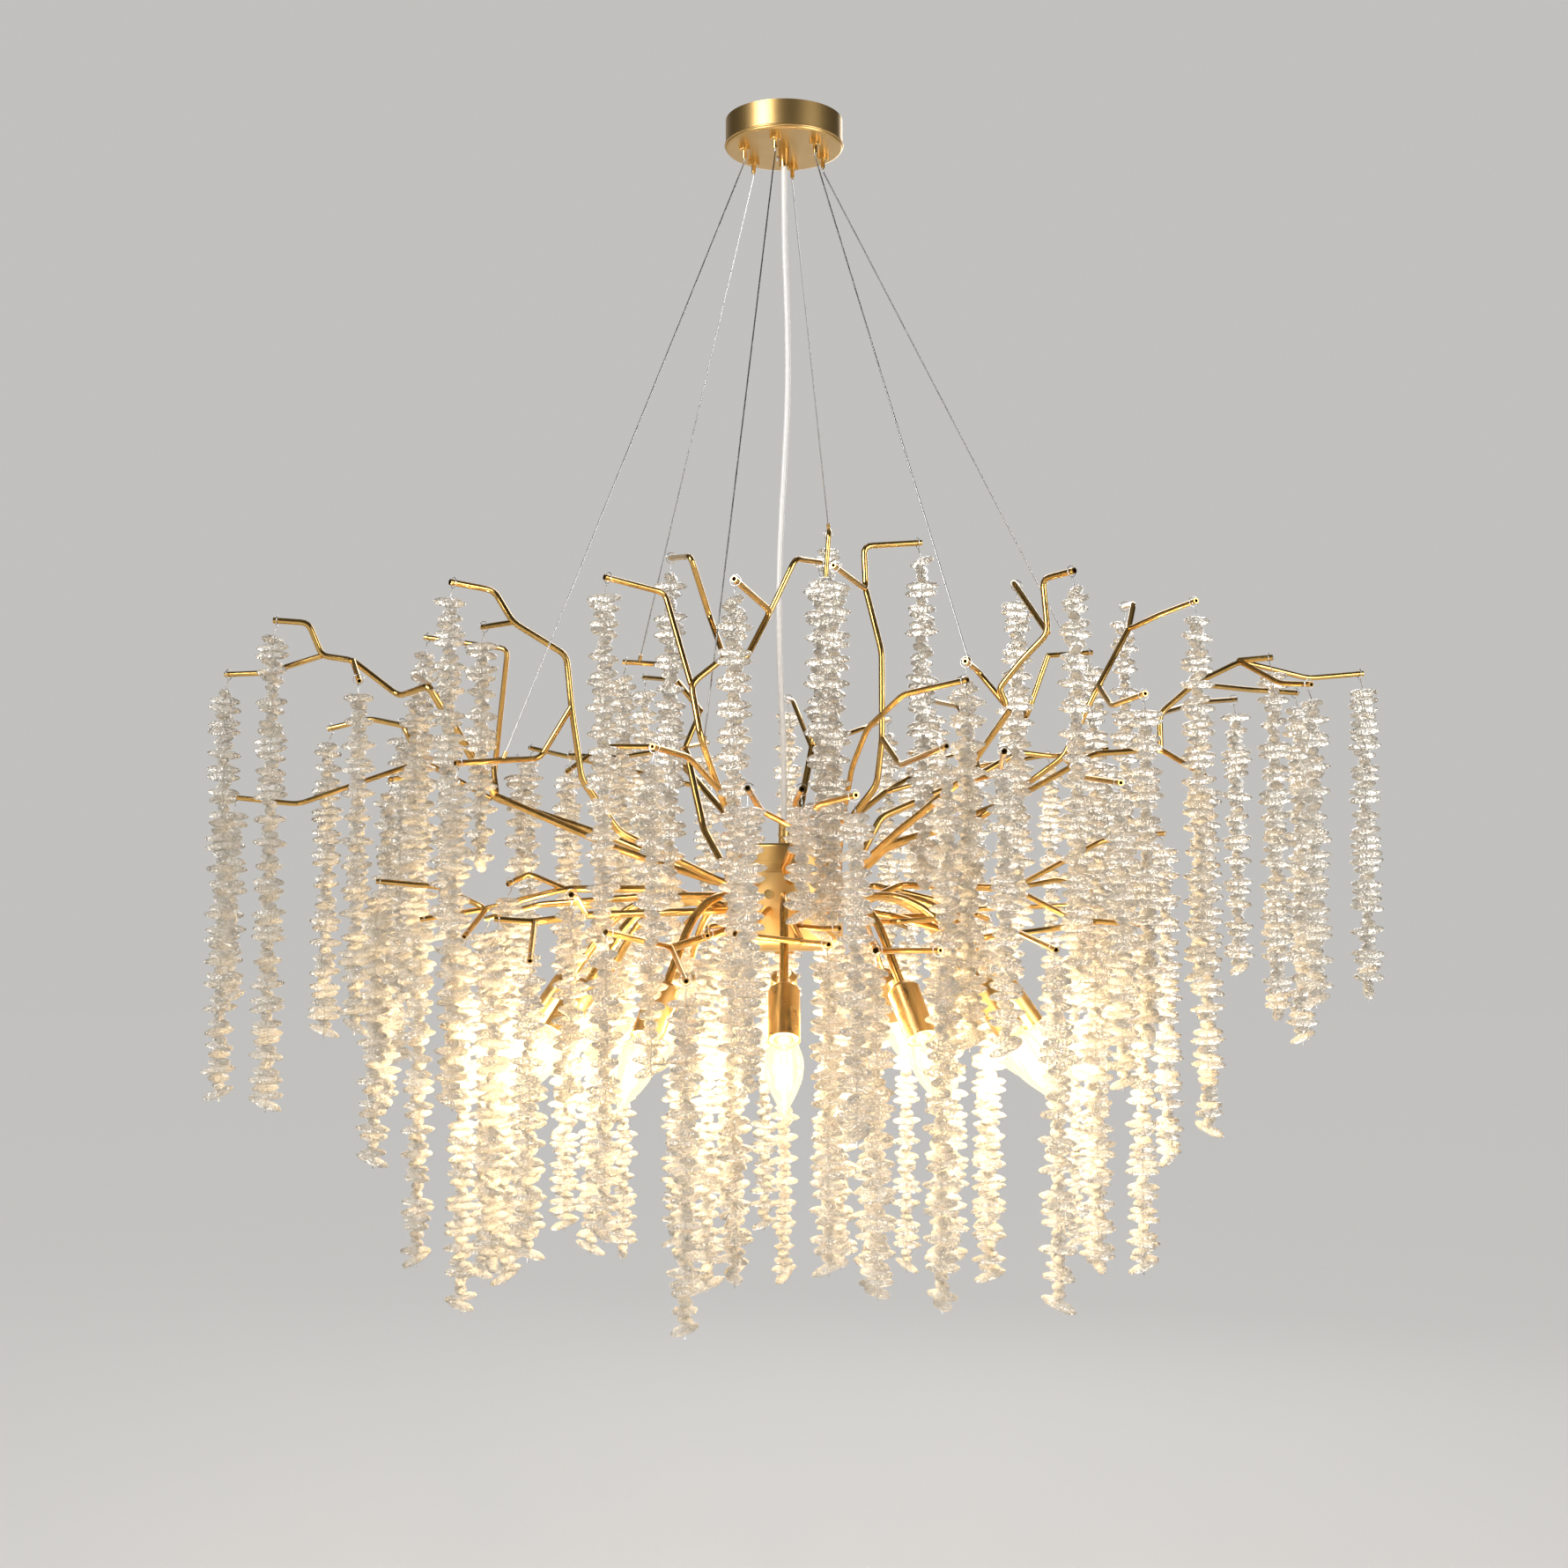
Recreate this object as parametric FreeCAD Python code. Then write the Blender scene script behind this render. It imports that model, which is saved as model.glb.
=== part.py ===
"""Crystal chandelier hung from a ceiling canopy on six steel wires, in millimetres.

The origin is the middle of the canopy on the ceiling plane. +Z is up, -Y is the front and
+X is to the right of someone who faces the front. Each sub-part has its own function, and
each function returns the solids of that sub-part.
"""
import FreeCAD
import Part
import math
import os

# ---------------------------------------------------------------- driving dimensions
# Ceiling canopy
CANOPY_R = 60.0
CANOPY_H = 30.0
CANOPY_WALL = 1.5
CANOPY_CORNER_R = 2.5
RIM_BEAD_R = 1.2

# Ceiling bracket inside the canopy
BRACKET_GAP = 0.5
BRACKET_T = 2.5
BRACKET_FLANGE_H = 12.0
BRACKET_FLANGE_WALL = 2.0
BRACKET_WIRE_HOLE_R = 12.0
CEILING_SCREW_R = 2.75
CEILING_SCREW_PCD = 84.0
CEILING_SCREW_COUNT = 4
CEILING_SCREW_PHASE = 45.0
SET_SCREW_R = 2.0
SET_SCREW_COUNT = 2
SET_SCREW_BITE = 3.0

# Wire grippers and suspension wires
GRIPPER_COUNT = 6
GRIPPER_RING_R = 42.5
GRIPPER_PHASE = 18.0
COLLAR_R = 4.5
COLLAR_H = 5.0
COLLAR_RIB_W = 2.4
COLLAR_RIB_R = 5.6
SHANK_R = 3.0
SHANK_RISE = 6.0
NIPPLE_R = 2.2
NIPPLE_L = 9.0
WIRE_STOP_R = 2.2
WIRE_STOP_L = 5.0
WIRE_R = 0.75
WIRE_BEND_R = 9.0
WIRE_BEND_DROP = 4.0
WIRE_FOOT_R = 2.0
WIRE_FOOT_L = 9.0

# Power cable with its grip, and the cable's ends inside the canopy and the hub
CABLE_R = 3.0
CABLE_SWAY = [0.0, 0.0, 3.2, 4.2, 1.0, -3.4, -5.6, -4.0, 0.0, 0.0]
CABLE_TAIL_L = 14.0
CABLE_TAIL_RISE = 1.0
CORD_ARC_SHARE = 0.45
GRIP_TOP_R = 5.8
GRIP_TIP_R = 4.8
GRIP_L = 18.0
GRIP_SHANK_R = 5.0
GRIP_SHANK_RISE = 7.0
GRIP_SCREW_R = 1.5
GRIP_SCREW_HEAD_R = 2.6
GRIP_SCREW_HEAD_H = 2.0
GRIP_SCREW_SHORT = 0.2
NUT_H = 3.5
NUT_WALL = 2.0
TERMINAL_SIZE = (22.0, 18.0, 11.0)
TERMINAL_OFFSET = 10.0
LEAD_R = 0.8
LEAD_SPACING = 3.6
LEAD_BEND_R = 2.4
LEAD_START_SPACING = 1.76
LEAD_FAN_OFFSET = 7.0

# Hub: cover on top, ring that takes the tubes, bowl below, clamped by one hollow rod
HUB_TOP_Z = -745.0
HUB_R = 60.0
COVER_INSET = 1.5
COVER_H = 29.0
RING_H = 42.0
RING_WALL = 4.0
BOWL_INSET = 0.8
BOWL_H = 35.0
BOWL_CORNER_R = 13.0
HUB_SHEET = 1.5
COVER_CORNER_R = 3.0
ROD_R = 4.0
ROD_BORE_R = 3.2
ROD_BITE = 9.0
CABLE_NIPPLE_R = 5.5
CABLE_NIPPLE_H = 22.0
ROD_NUT_R = 8.0
CROSSBAR_W = 10.0
CROSSBAR_ANGLE = 256.0
HUB_SCREW_R = 2.0
HUB_SCREW_HEAD_R = 4.5
HUB_SCREW_HEAD_H = 2.6
HUB_SCREW_BITE = 10.0
SCREW_SLOT_W = 1.0

# Brass tubes
ROOT_TUBE_R = 3.75
MAIN_TUBE_R = 3.0
TWIG_TUBE_R = 2.75
TUBE_WALL = 0.9
THICK_STRETCHES = 3
SOCKET_DEPTH = 10.0
ROOT_STUB = 8.0
UPPER_ROOT_DROP = 9.0
LOWER_ROOT_DROP = 36.0

# Lamps
LAMP_COUNT = 12
ARM_SAMPLES = 6
LAMP_TILT = 35.0
ARM_R = 4.0
ARM_BORE_R = 3.0
ARM_ROOT_DROP = 23.0
ARM_BEND_R = 90.0
ARM_BEND_SHARE = 0.9
LAMP_TOP_REACH = 215.0
LAMP_TOP_DROP = 106.0
SLEEVE_R = 14.5
SLEEVE_L = 56.0
SLEEVE_WALL = 1.2
SLEEVE_SHOULDER = 4.5
HOLDER_R = 12.6
HOLDER_L = 34.0
HOLDER_INSET = 2.0
HOLDER_STEM_R = 6.0
CAP_R = 6.9
CAP_L = 20.0
CAP_CLEARANCE = 0.3
CAP_HEADROOM = 1.0
BULB_R = 17.5
BULB_NECK_R = 10.5
BULB_BELLY_AT = 30.0
BULB_TIP_R = 3.0
BULB_TIP_H = 2.0
BULB_CONE_R = 9.09
BULB_CONE_H = 15.2
BULB_L = 76.0

# Crystal strands: crystals threaded on a wire that hangs from an eye on a twig's end
CRYSTAL_L = 35.0
CRYSTAL_ROW = 13.0
STRAND_CORE_R = 4.5
EYE_WIRE_R = 0.4
EYE_PLAY = 2.0
EYE_SETBACK = 4.0
STEM_R = 0.5
STEM_L = 10.0

# Settling: gaps kept while the branches bend clear of each other, and how easily a point
# gives way to the right, backwards and upwards
STRAND_GAP = 3.0
TOUCHING = 0.01
TUBE_GAP = 1.5
WIRE_GAP = 2.0
SETTLE_EASE = (0.35, 1.0, 0.35)
SETTLE_SWEEPS = 500
SETTLE_ENOUGH = 0.1

# Cutting tools reach this far past the face that they cut
CUT_PAST = 1.0

# Worked out from the sizes above
HUB_RING_TOP_Z = HUB_TOP_Z - COVER_H
HUB_RING_LOW_Z = HUB_RING_TOP_Z - RING_H
HUB_LOW_Z = HUB_RING_LOW_Z - BOWL_H
UPPER_ROOT_Z = HUB_RING_TOP_Z - UPPER_ROOT_DROP
LOWER_ROOT_Z = HUB_RING_TOP_Z - LOWER_ROOT_DROP
ARM_ROOT_Z = HUB_RING_TOP_Z - ARM_ROOT_DROP
CANOPY_FLOOR_Z = CANOPY_WALL - CANOPY_H
SET_SCREW_Z = -BRACKET_FLANGE_H / 2
GRIP_TIP_Z = -CANOPY_H - GRIP_L
CABLE_END_Z = CANOPY_FLOOR_Z + GRIP_SHANK_RISE + CABLE_TAIL_RISE
CABLE_NIPPLE_TOP_Z = HUB_TOP_Z + CABLE_NIPPLE_H
EYE_R = TWIG_TUBE_R + EYE_PLAY + EYE_WIRE_R
STRAND_TOP_DROP = CRYSTAL_L / 2 + EYE_R + EYE_WIRE_R + (STRAND_GAP + TUBE_GAP) / 2


# ---------------------------------------------------------------- branches
def branch(tier, angle, strand, main, twigs):
    """A branch's plan: its socket, its main tube's points and strand, and its twigs.

    A twig is the number of the main point that it starts from, its points and its strand.
    A strand is given as the distance from the tube's end to its lowest crystal, or 0 for none."""
    return {"tier": tier, "angle": angle, "strand": strand, "main": main, "twigs": twigs}


BRANCHES = {
    "upper_left": branch("upper", 205, 340, [
        (-160, -80, -735), (-195, -90, -685), (-205, -95, -615), (-210, -95, -565),
        (-260, -110, -535), (-290, -120, -520), (-305, -130, -495)], [
        (4, [(-295, -75, -535)], 240),
        (2, [(-235, -95, -665), (-305, -150, -675)], 320),
    ]),
    "outer_left": branch("upper", 187, 480, [
        (-165, -30, -750), (-285, -35, -700), (-350, -45, -620), (-380, -50, -600), (-425, -55, -565),
        (-455, -55, -560), (-470, -60, -535), (-500, -60, -520)], [
        (5, [(-515, -35, -575), (-560, -20, -575)], 425),
        (4, [(-410, -95, -590)], 340),
        (2, [(-370, -15, -545)], 350),
        (1, [(-290, -20, -665), (-265, -10, -655)], 125),
    ]),
    "outer_left_back": branch("upper", 168, 325, [
        (-180, 60, -735), (-305, 75, -695), (-380, 80, -655), (-400, 85, -625), (-435, 80, -610),
        (-480, 80, -620)], [
        (2, [(-370, 70, -665), (-405, 60, -675)], 340),
        (3, [(-415, 150, -600)], 370),
        (2, [(-505, 65, -705), (-570, 55, -690)], 215),
        (1, [(-310, 45, -580), (-360, 60, -490)], 385),
    ]),
    "front_left": branch("upper", 240, 360, [
        (-40, -120, -750), (-60, -180, -700), (-75, -215, -655), (-85, -200, -605), (-55, -190, -580),
        (-35, -195, -580), (-20, -200, -555), (-40, -210, -495)], [
        (6, [(15, -140, -500), (35, -115, -460)], 365),
        (4, [(-70, -140, -535), (-95, -120, -510), (-115, -80, -445)], 360),
        (3, [(-125, -190, -540), (-165, -200, -485)], 345),
        (1, [(-85, -240, -675), (-115, -300, -670)], 285),
    ]),
    "back_left": branch("upper", 140, 0, [
        (-85, 100, -725), (-105, 135, -635), (-90, 145, -595), (-135, 150, -555)], [
        (3, [(-175, 155, -530)], 405),
        (2, [(-120, 220, -560), (-150, 280, -535)], 375),
        (1, [(-185, 230, -640), (-245, 300, -625)], 355),
        (1, [(-190, 140, -635), (-225, 110, -665)], 380),
    ]),
    "back_centre": branch("upper", 75, 0, [
        (15, 100, -715), (30, 150, -635), (40, 190, -525)], [
        (2, [(50, 210, -405), (50, 215, -370)], 405),
        (1, [(10, 230, -580), (-10, 330, -560)], 370),
        (1, [(90, 230, -620), (125, 300, -575)], 385),
    ]),
    "centre_right": branch("upper", 318, 345, [
        (55, -70, -735), (90, -80, -690), (95, -85, -645), (95, -80, -560), (80, -70, -500),
        (85, -65, -470), (120, -60, -445)], [
        (4, [(50, -105, -485)], 345),
        (2, [(110, -140, -675), (140, -250, -675)], 295),
        (0, [(60, -120, -675), (65, -150, -640), (110, -200, -620), (155, -250, -600)], 330),
    ]),
    "right_front": branch("upper", 328, 380, [
        (110, -90, -735), (165, -130, -690), (210, -165, -625), (200, -165, -605), (220, -170, -580),
        (245, -180, -555), (245, -185, -515), (260, -190, -490)], [
        (5, [(220, -100, -515), (210, -60, -480)], 335),
        (2, [(180, -160, -595), (170, -185, -575)], 330),
        (1, [(195, -200, -690), (205, -290, -670)], 265),
    ]),
    "right_back": branch("upper", 20, 0, [
        (100, 40, -715), (205, 70, -670), (245, 80, -645), (255, 85, -610), (280, 90, -550)], [
        (4, [(325, 95, -530)], 390),
        (2, [(285, 95, -655), (350, 150, -630)], 310),
        (1, [(185, 160, -615), (155, 220, -555)], 405),
        (3, [(250, 160, -575), (250, 240, -540)], 365),
    ]),
    "outer_right": branch("upper", 0, 360, [
        (100, -10, -750), (230, -20, -700), (310, -25, -655), (375, -25, -650), (375, -25, -615),
        (410, -25, -585), (455, -30, -565), (485, -30, -555)], [
        (6, [(530, -10, -585), (585, 0, -565)], 330),
        (6, [(485, -70, -590), (505, -110, -595)], 310),
        (5, [(480, 30, -585), (535, 60, -585)], 365),
        (4, [(435, 80, -595), (490, 150, -580)], 300),
        (3, [(410, -70, -680)], 350),
    ]),
    "upper_right": branch("upper", 348, 0, [
        (105, -40, -745), (200, -60, -720), (275, -60, -660), (310, -50, -590), (345, -20, -530)], [
        (4, [(355, 10, -510), (355, 50, -485)], 415),
        (4, [(370, -60, -525), (395, -110, -510)], 365),
        (3, [(315, -100, -615), (335, -170, -610)], 325),
        (2, [(285, -120, -685), (305, -190, -695)], 280),
    ]),
    "far_back_left": branch("upper", 118, 0, [
        (-35, 120, -740), (-90, 230, -680), (-135, 330, -640)], [
        (2, [(-180, 430, -590)], 290),
        (2, [(-95, 440, -600)], 310),
        (1, [(-300, 330, -620)], 340),
    ]),
    "far_back_right": branch("upper", 50, 0, [
        (40, 110, -740), (110, 220, -680), (185, 320, -645)], [
        (2, [(235, 420, -605)], 290),
        (2, [(155, 440, -615)], 290),
        (1, [(230, 260, -655), (310, 320, -620)], 340),
    ]),
    "front_centre": branch("upper", 275, 0, [
        (0, -120, -770), (15, -220, -740), (30, -290, -720)], [
        (2, [(60, -355, -715)], 290),
        (1, [(10, -280, -725), (15, -330, -700)], 115),
        (1, [(-20, -280, -730), (-30, -370, -705)], 255),
    ]),
    "low_left": branch("lower", 195, 0, [
        (-110, -30, -790), (-215, -50, -790), (-285, -55, -810)], [
        (2, [(-355, -60, -820)], 335),
        (2, [(-305, -115, -825)], 355),
        (1, [(-250, -50, -775), (-275, -15, -785)], 385),
        (2, [(-340, -40, -790), (-400, -50, -780)], 280),
    ]),
    "low_left_front": branch("lower", 225, 0, [
        (-75, -85, -810), (-180, -150, -815), (-230, -190, -830)], [
        (2, [(-260, -195, -810)], 315),
        (2, [(-215, -260, -855)], 260),
        (1, [(-175, -220, -800), (-195, -250, -795)], 195),
    ]),
    "low_front_left": branch("lower", 255, 0, [
        (-25, -125, -820), (-100, -220, -850)], [
        (1, [(-85, -345, -870)], 295),
        (1, [(-145, -300, -825)], 265),
        (0, [(-70, -180, -830), (-90, -190, -830)], 320),
    ]),
    "low_front": branch("lower", 285, 0, [
        (30, -125, -825), (15, -235, -840)], [
        (1, [(-42, -300, -830)], 300),
        (1, [(38, -310, -840)], 280),
        (0, [(35, -190, -830), (50, -205, -825)], 305),
    ]),
    "low_front_right": branch("lower", 315, 0, [
        (80, -95, -820), (90, -220, -845)], [
        (1, [(78, -312, -845)], 295),
        (1, [(140, -300, -845)], 305),
        (0, [(105, -160, -825), (125, -190, -815)], 310),
    ]),
    "low_right_front": branch("lower", 345, 0, [
        (115, -30, -810), (180, -160, -835)], [
        (1, [(210, -200, -830), (220, -290, -845)], 310),
        (1, [(290, -170, -820)], 320),
        (0, [(185, -90, -815), (205, -85, -815)], 350),
    ]),
    "low_right": branch("lower", 15, 0, [
        (120, 30, -785), (225, -35, -790)], [
        (1, [(285, -40, -820), (350, -45, -825)], 340),
        (1, [(275, 0, -780), (315, 40, -790)], 385),
        (1, [(315, -30, -745), (385, 10, -730)], 335),
    ]),
    "low_right_back": branch("lower", 45, 0, [
        (90, 90, -790), (200, 120, -810)], [
        (1, [(315, 165, -805)], 370),
        (1, [(230, 230, -805)], 380),
        (0, [(170, 70, -820)], 365),
    ]),
    "low_back_right": branch("lower", 75, 0, [
        (30, 115, -800), (80, 190, -805)], [
        (1, [(135, 290, -830)], 390),
        (1, [(50, 300, -825)], 350),
        (0, [(90, 130, -835)], 360),
    ]),
    "low_back_left": branch("lower", 105, 0, [
        (-30, 115, -800), (-40, 200, -805)], [
        (1, [(-70, 310, -790)], 365),
        (1, [(-10, 350, -805)], 380),
        (0, [(0, 160, -840)], 370),
    ]),
    "low_left_back": branch("lower", 135, 0, [
        (-80, 85, -800), (-150, 160, -810)], [
        (1, [(-175, 240, -825)], 375),
        (1, [(-240, 190, -805)], 355),
        (0, [(-105, 130, -825)], 360),
        (1, [(-135, 330, -815)], 385),
    ]),
    "low_left_mid": branch("lower", 165, 0, [
        (-115, 35, -795), (-250, 80, -805)], [
        (1, [(-310, 60, -820)], 370),
        (1, [(-285, 140, -810)], 375),
        (0, [(-200, 20, -825)], 335),
    ]),
}

# Branch tubes and strands are grouped into nodes by where they are
BRANCH_NODES = {
    "branches_left": ["upper_left", "outer_left", "outer_left_back", "front_left", "back_left",
                      "far_back_left", "front_centre"],
    "branches_right": ["back_centre", "centre_right", "right_front", "right_back", "outer_right",
                       "upper_right", "far_back_right"],
    "branches_low": ["low_left", "low_left_front", "low_front_left", "low_front",
                     "low_front_right", "low_right_front", "low_right", "low_right_back",
                     "low_back_right", "low_back_left", "low_left_back", "low_left_mid"],
}
STRAND_NODES = {
    "strands_upper_left": ["upper_left"],
    "strands_outer_left": ["outer_left"],
    "strands_outer_left_back": ["outer_left_back"],
    "strands_front_left": ["front_left"],
    "strands_back_left": ["back_left", "far_back_left"],
    "strands_back_centre": ["back_centre"],
    "strands_centre_right": ["centre_right"],
    "strands_right_front": ["right_front"],
    "strands_right_back": ["right_back", "far_back_right"],
    "strands_outer_right": ["outer_right"],
    "strands_upper_right": ["upper_right"],
    "strands_front_centre": ["front_centre"],
    "strands_low_left_front": ["low_left", "low_left_front"],
    "strands_low_front_left": ["low_front_left", "low_front"],
    "strands_low_front_right": ["low_front_right", "low_right_front"],
    "strands_low_right": ["low_right", "low_right_back"],
    "strands_low_back": ["low_back_right", "low_back_left"],
    "strands_low_left_back": ["low_left_back", "low_left_mid"],
}

# Each suspension wire's foot: branch, tube (0 is the main one), stretch, share along it
WIRE_FEET = [
    ("right_back", 1, 0, 0.6),
    ("back_centre", 1, 1, 0.25),
    ("back_left", 1, 0, 0.6),
    ("upper_left", 2, 1, 0.45),
    ("front_left", 0, 2, 0.85),
    ("right_front", 2, 1, 0.6),
]


# ---------------------------------------------------------------- geometry helpers
Vector = FreeCAD.Vector
UP = Vector(0, 0, 1)


def polar(radius, angle_deg, z=0.0):
    """The point at a radius and plan angle."""
    angle = math.radians(angle_deg)
    return Vector(radius * math.cos(angle), radius * math.sin(angle), z)


def unit(vector):
    """The vector's direction, one millimetre long."""
    return vector * (1.0 / vector.Length)


def cylinder(radius, start, end):
    """A cylinder between two points."""
    return Part.makeCylinder(radius, (end - start).Length, start, end - start)


def radial_rod(radius, inner_r, outer_r, angle, z):
    """A level cylinder that points away from the Z axis."""
    return cylinder(radius, polar(inner_r, angle, z), polar(outer_r, angle, z))


def middle_box(length, width, height, x=0.0):
    """A box centred on the X axis, from x to x + length."""
    return Part.makeBox(length, width, height, Vector(x, -width / 2, -height / 2))


def disc_stack(profile):
    """A solid of revolution about the Z axis, from its (radius, z) points."""
    points = [Vector(radius, 0, z) for radius, z in profile]
    face = Part.Face(Part.makePolygon(points + points[:1]))
    return face.revolve(Vector(0, 0, 0), UP, 360)


def hex_nut(half_width, bore_r, height, bottom):
    """A hexagon nut that stands on a point, half_width from its axis to each flat."""
    corner_r = half_width / math.cos(math.pi / 6)
    corners = [bottom + polar(corner_r, 60 * i) for i in range(7)]
    prism = Part.Face(Part.makePolygon(corners)).extrude(UP * height)
    return prism.cut(cylinder(bore_r, bottom, bottom + UP * height))


def fillet_circle(solid, z, radius, fillet_r):
    """Round the circular edges of one radius at one height."""
    edges = [
        edge for edge in solid.Edges
        if hasattr(edge.Curve, "Radius")
        and abs(edge.Curve.Radius - radius) < 0.01
        and abs(edge.CenterOfMass.z - z) < 0.01
    ]
    return solid.makeFillet(fillet_r, edges)


def spin_copies(solid, count, phase=0.0):
    """Copies of a solid turned evenly about the Z axis."""
    copies = []
    for i in range(count):
        copy = solid.copy()
        copy.rotate(Vector(0, 0, 0), UP, phase + 360.0 * i / count)
        copies.append(copy)
    return copies


def corner_arc(before, corner, after, radius):
    """The tangent arc that rounds one corner of a route, as start, middle and end points."""
    back = unit(before - corner)
    ahead = unit(after - corner)
    half_turn = (math.pi - back.getAngle(ahead)) / 2
    setback = radius * math.tan(half_turn)
    bisector = unit(back + ahead)
    middle = corner + bisector * (radius / math.cos(half_turn) - radius)
    return corner + back * setback, middle, corner + ahead * setback


def cord_radius(before, corner, after):
    """The largest arc radius that the two runs beside a corner of a cord allow."""
    back = before - corner
    ahead = after - corner
    half_turn = (math.pi - back.getAngle(ahead)) / 2
    return CORD_ARC_SHARE * min(back.Length, ahead.Length) / math.tan(half_turn)


def route_wire(points, radii):
    """A path of straight runs joined by tangent arcs, with one radius for each inner point."""
    edges = []
    here = points[0]
    for i, radius in enumerate(radii, start=1):
        start, middle, end = corner_arc(points[i - 1], points[i], points[i + 1], radius)
        edges.append(Part.LineSegment(here, start).toShape())
        edges.append(Part.Arc(start, middle, end).toShape())
        here = end
    edges.append(Part.LineSegment(here, points[-1]).toShape())
    return Part.Wire(edges)


def sweep_round(path, radius):
    """A solid round bar along a path."""
    first = path.Edges[0]
    start = first.valueAt(first.FirstParameter)
    section = Part.Wire([Part.makeCircle(radius, start, first.tangentAt(first.FirstParameter))])
    return path.makePipeShell([section], True, False)


def route_tube(points, radii, tube_r):
    """A solid round bar along a route."""
    return sweep_round(route_wire(points, radii), tube_r)


def gripper_points(z):
    """The six gripper axes' points at one height."""
    step = 360.0 / GRIPPER_COUNT
    return [polar(GRIPPER_RING_R, GRIPPER_PHASE + step * i, z) for i in range(GRIPPER_COUNT)]


def lamp_direction():
    """Unit vector along a lamp's axis, for the lamp at plan angle 0."""
    tilt = math.radians(LAMP_TILT)
    return Vector(math.sin(tilt), 0, -math.cos(tilt))


def lamp_top():
    """Where the arm meets the sleeve, for the lamp at plan angle 0."""
    return Vector(LAMP_TOP_REACH, 0, HUB_RING_TOP_Z - LAMP_TOP_DROP)


def lamp_arm_wire():
    """The middle line of a lamp's arm, for the lamp at plan angle 0."""
    top = lamp_top()
    tilt = math.radians(LAMP_TILT)
    corner = Vector(top.x - (ARM_ROOT_Z - top.z) * math.tan(tilt), 0, ARM_ROOT_Z)
    start = Vector(HUB_R - SOCKET_DEPTH, 0, ARM_ROOT_Z)
    half_turn = (math.pi / 2 - tilt) / 2
    shorter = min((top - corner).Length, (corner - start).Length)
    radius = min(ARM_BEND_R, ARM_BEND_SHARE * shorter / math.tan(half_turn))
    return route_wire([start, corner, top], [radius])


# ---------------------------------------------------------------- settling the branches
# A branch bends to keep its crystals and tubes clear of everything near it, mostly forwards
# or backwards, so the places above stay as they look from the front.

def branch_root_z(plan):
    """Height of a branch's socket in the ring."""
    return UPPER_ROOT_Z if plan["tier"] == "upper" else LOWER_ROOT_Z


def branch_keys(name):
    """Keys of the points that may move, tube by tube. A twig's first key is its main tube's."""
    plan = BRANCHES[name]
    tubes = [[(name, 0, i) for i in range(len(plan["main"]) + 1)]]
    for number, (fork, points, _) in enumerate(plan["twigs"], start=1):
        tubes.append([(name, 0, fork + 1)] + [(name, number, i) for i in range(len(points))])
    return tubes


def planned_places():
    """Every branch point's place before settling."""
    places = {}
    for name, plan in BRANCHES.items():
        places[(name, 0, 0)] = list(polar(HUB_R + ROOT_STUB, plan["angle"], branch_root_z(plan)))
        for i, point in enumerate(plan["main"], start=1):
            places[(name, 0, i)] = list(point)
        for number, (_, points, _) in enumerate(plan["twigs"], start=1):
            for i, point in enumerate(points):
                places[(name, number, i)] = list(point)
    return places


def strand_length(name, tube_no):
    """The strand's length at a tube's end, or 0."""
    plan = BRANCHES[name]
    return plan["twigs"][tube_no - 1][2] if tube_no else plan["strand"]


def stretch_radius(tube_no, stretch_no):
    """A tube's radius: thick from the ring to the second knee, then thinner, and twigs thinnest."""
    if tube_no:
        return TWIG_TUBE_R
    return ROOT_TUBE_R if stretch_no < THICK_STRETCHES else MAIN_TUBE_R


def fixed_rods():
    """What the branches keep clear of: lamps with their arms, the power cable and the hub."""
    rods = [
        (Vector(0, 0, GRIP_TIP_Z), Vector(0, 0, HUB_TOP_Z), CABLE_R + max(CABLE_SWAY)),
        (Vector(0, 0, HUB_TOP_Z), Vector(0, 0, HUB_LOW_Z), HUB_R),
    ]
    arm_points = lamp_arm_wire().discretize(Number=ARM_SAMPLES)
    bulb_tip = lamp_top() + lamp_direction() * (SLEEVE_L + BULB_L - BULB_R)
    for i in range(LAMP_COUNT):
        turn = FreeCAD.Rotation(UP, 360.0 / LAMP_COUNT * i)
        for start, end in zip(arm_points[1:], arm_points[2:]):
            rods.append((turn.multVec(start), turn.multVec(end), ARM_R + TUBE_GAP))
        rods.append((turn.multVec(lamp_top()), turn.multVec(bulb_tip), BULB_R))
    return rods


def rod_between(ends, radius, gap, kind, owner=frozenset()):
    """A round-ended rod for the settling. Each end is a place and the points that it follows."""
    return {"ends": ends, "radius": radius, "gap": gap, "kind": kind, "owner": owner}


def follow(places, end):
    """Where a rod's end is now."""
    base, leads = end
    x, y, z = base
    for key, share in leads:
        px, py, pz = places[key]
        x += share * px
        y += share * py
        z += share * pz
    return x, y, z


def nearest_shares(a, b, c, d):
    """How far along the stretches a-b and c-d their nearest points are, as shares."""
    ux, uy, uz = b[0] - a[0], b[1] - a[1], b[2] - a[2]
    vx, vy, vz = d[0] - c[0], d[1] - c[1], d[2] - c[2]
    wx, wy, wz = a[0] - c[0], a[1] - c[1], a[2] - c[2]
    uu = ux * ux + uy * uy + uz * uz
    vv = vx * vx + vy * vy + vz * vz
    uv = ux * vx + uy * vy + uz * vz
    uw = ux * wx + uy * wy + uz * wz
    vw = vx * wx + vy * wy + vz * wz
    spread = uu * vv - uv * uv
    s = min(1.0, max(0.0, (uv * vw - vv * uw) / spread)) if spread > 1e-6 else 0.0
    t = (uv * s + vw) / vv
    if t < 0.0 or t > 1.0:
        t = min(1.0, max(0.0, t))
        s = min(1.0, max(0.0, (uv * t - uw) / uu))
    return s, t


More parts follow.
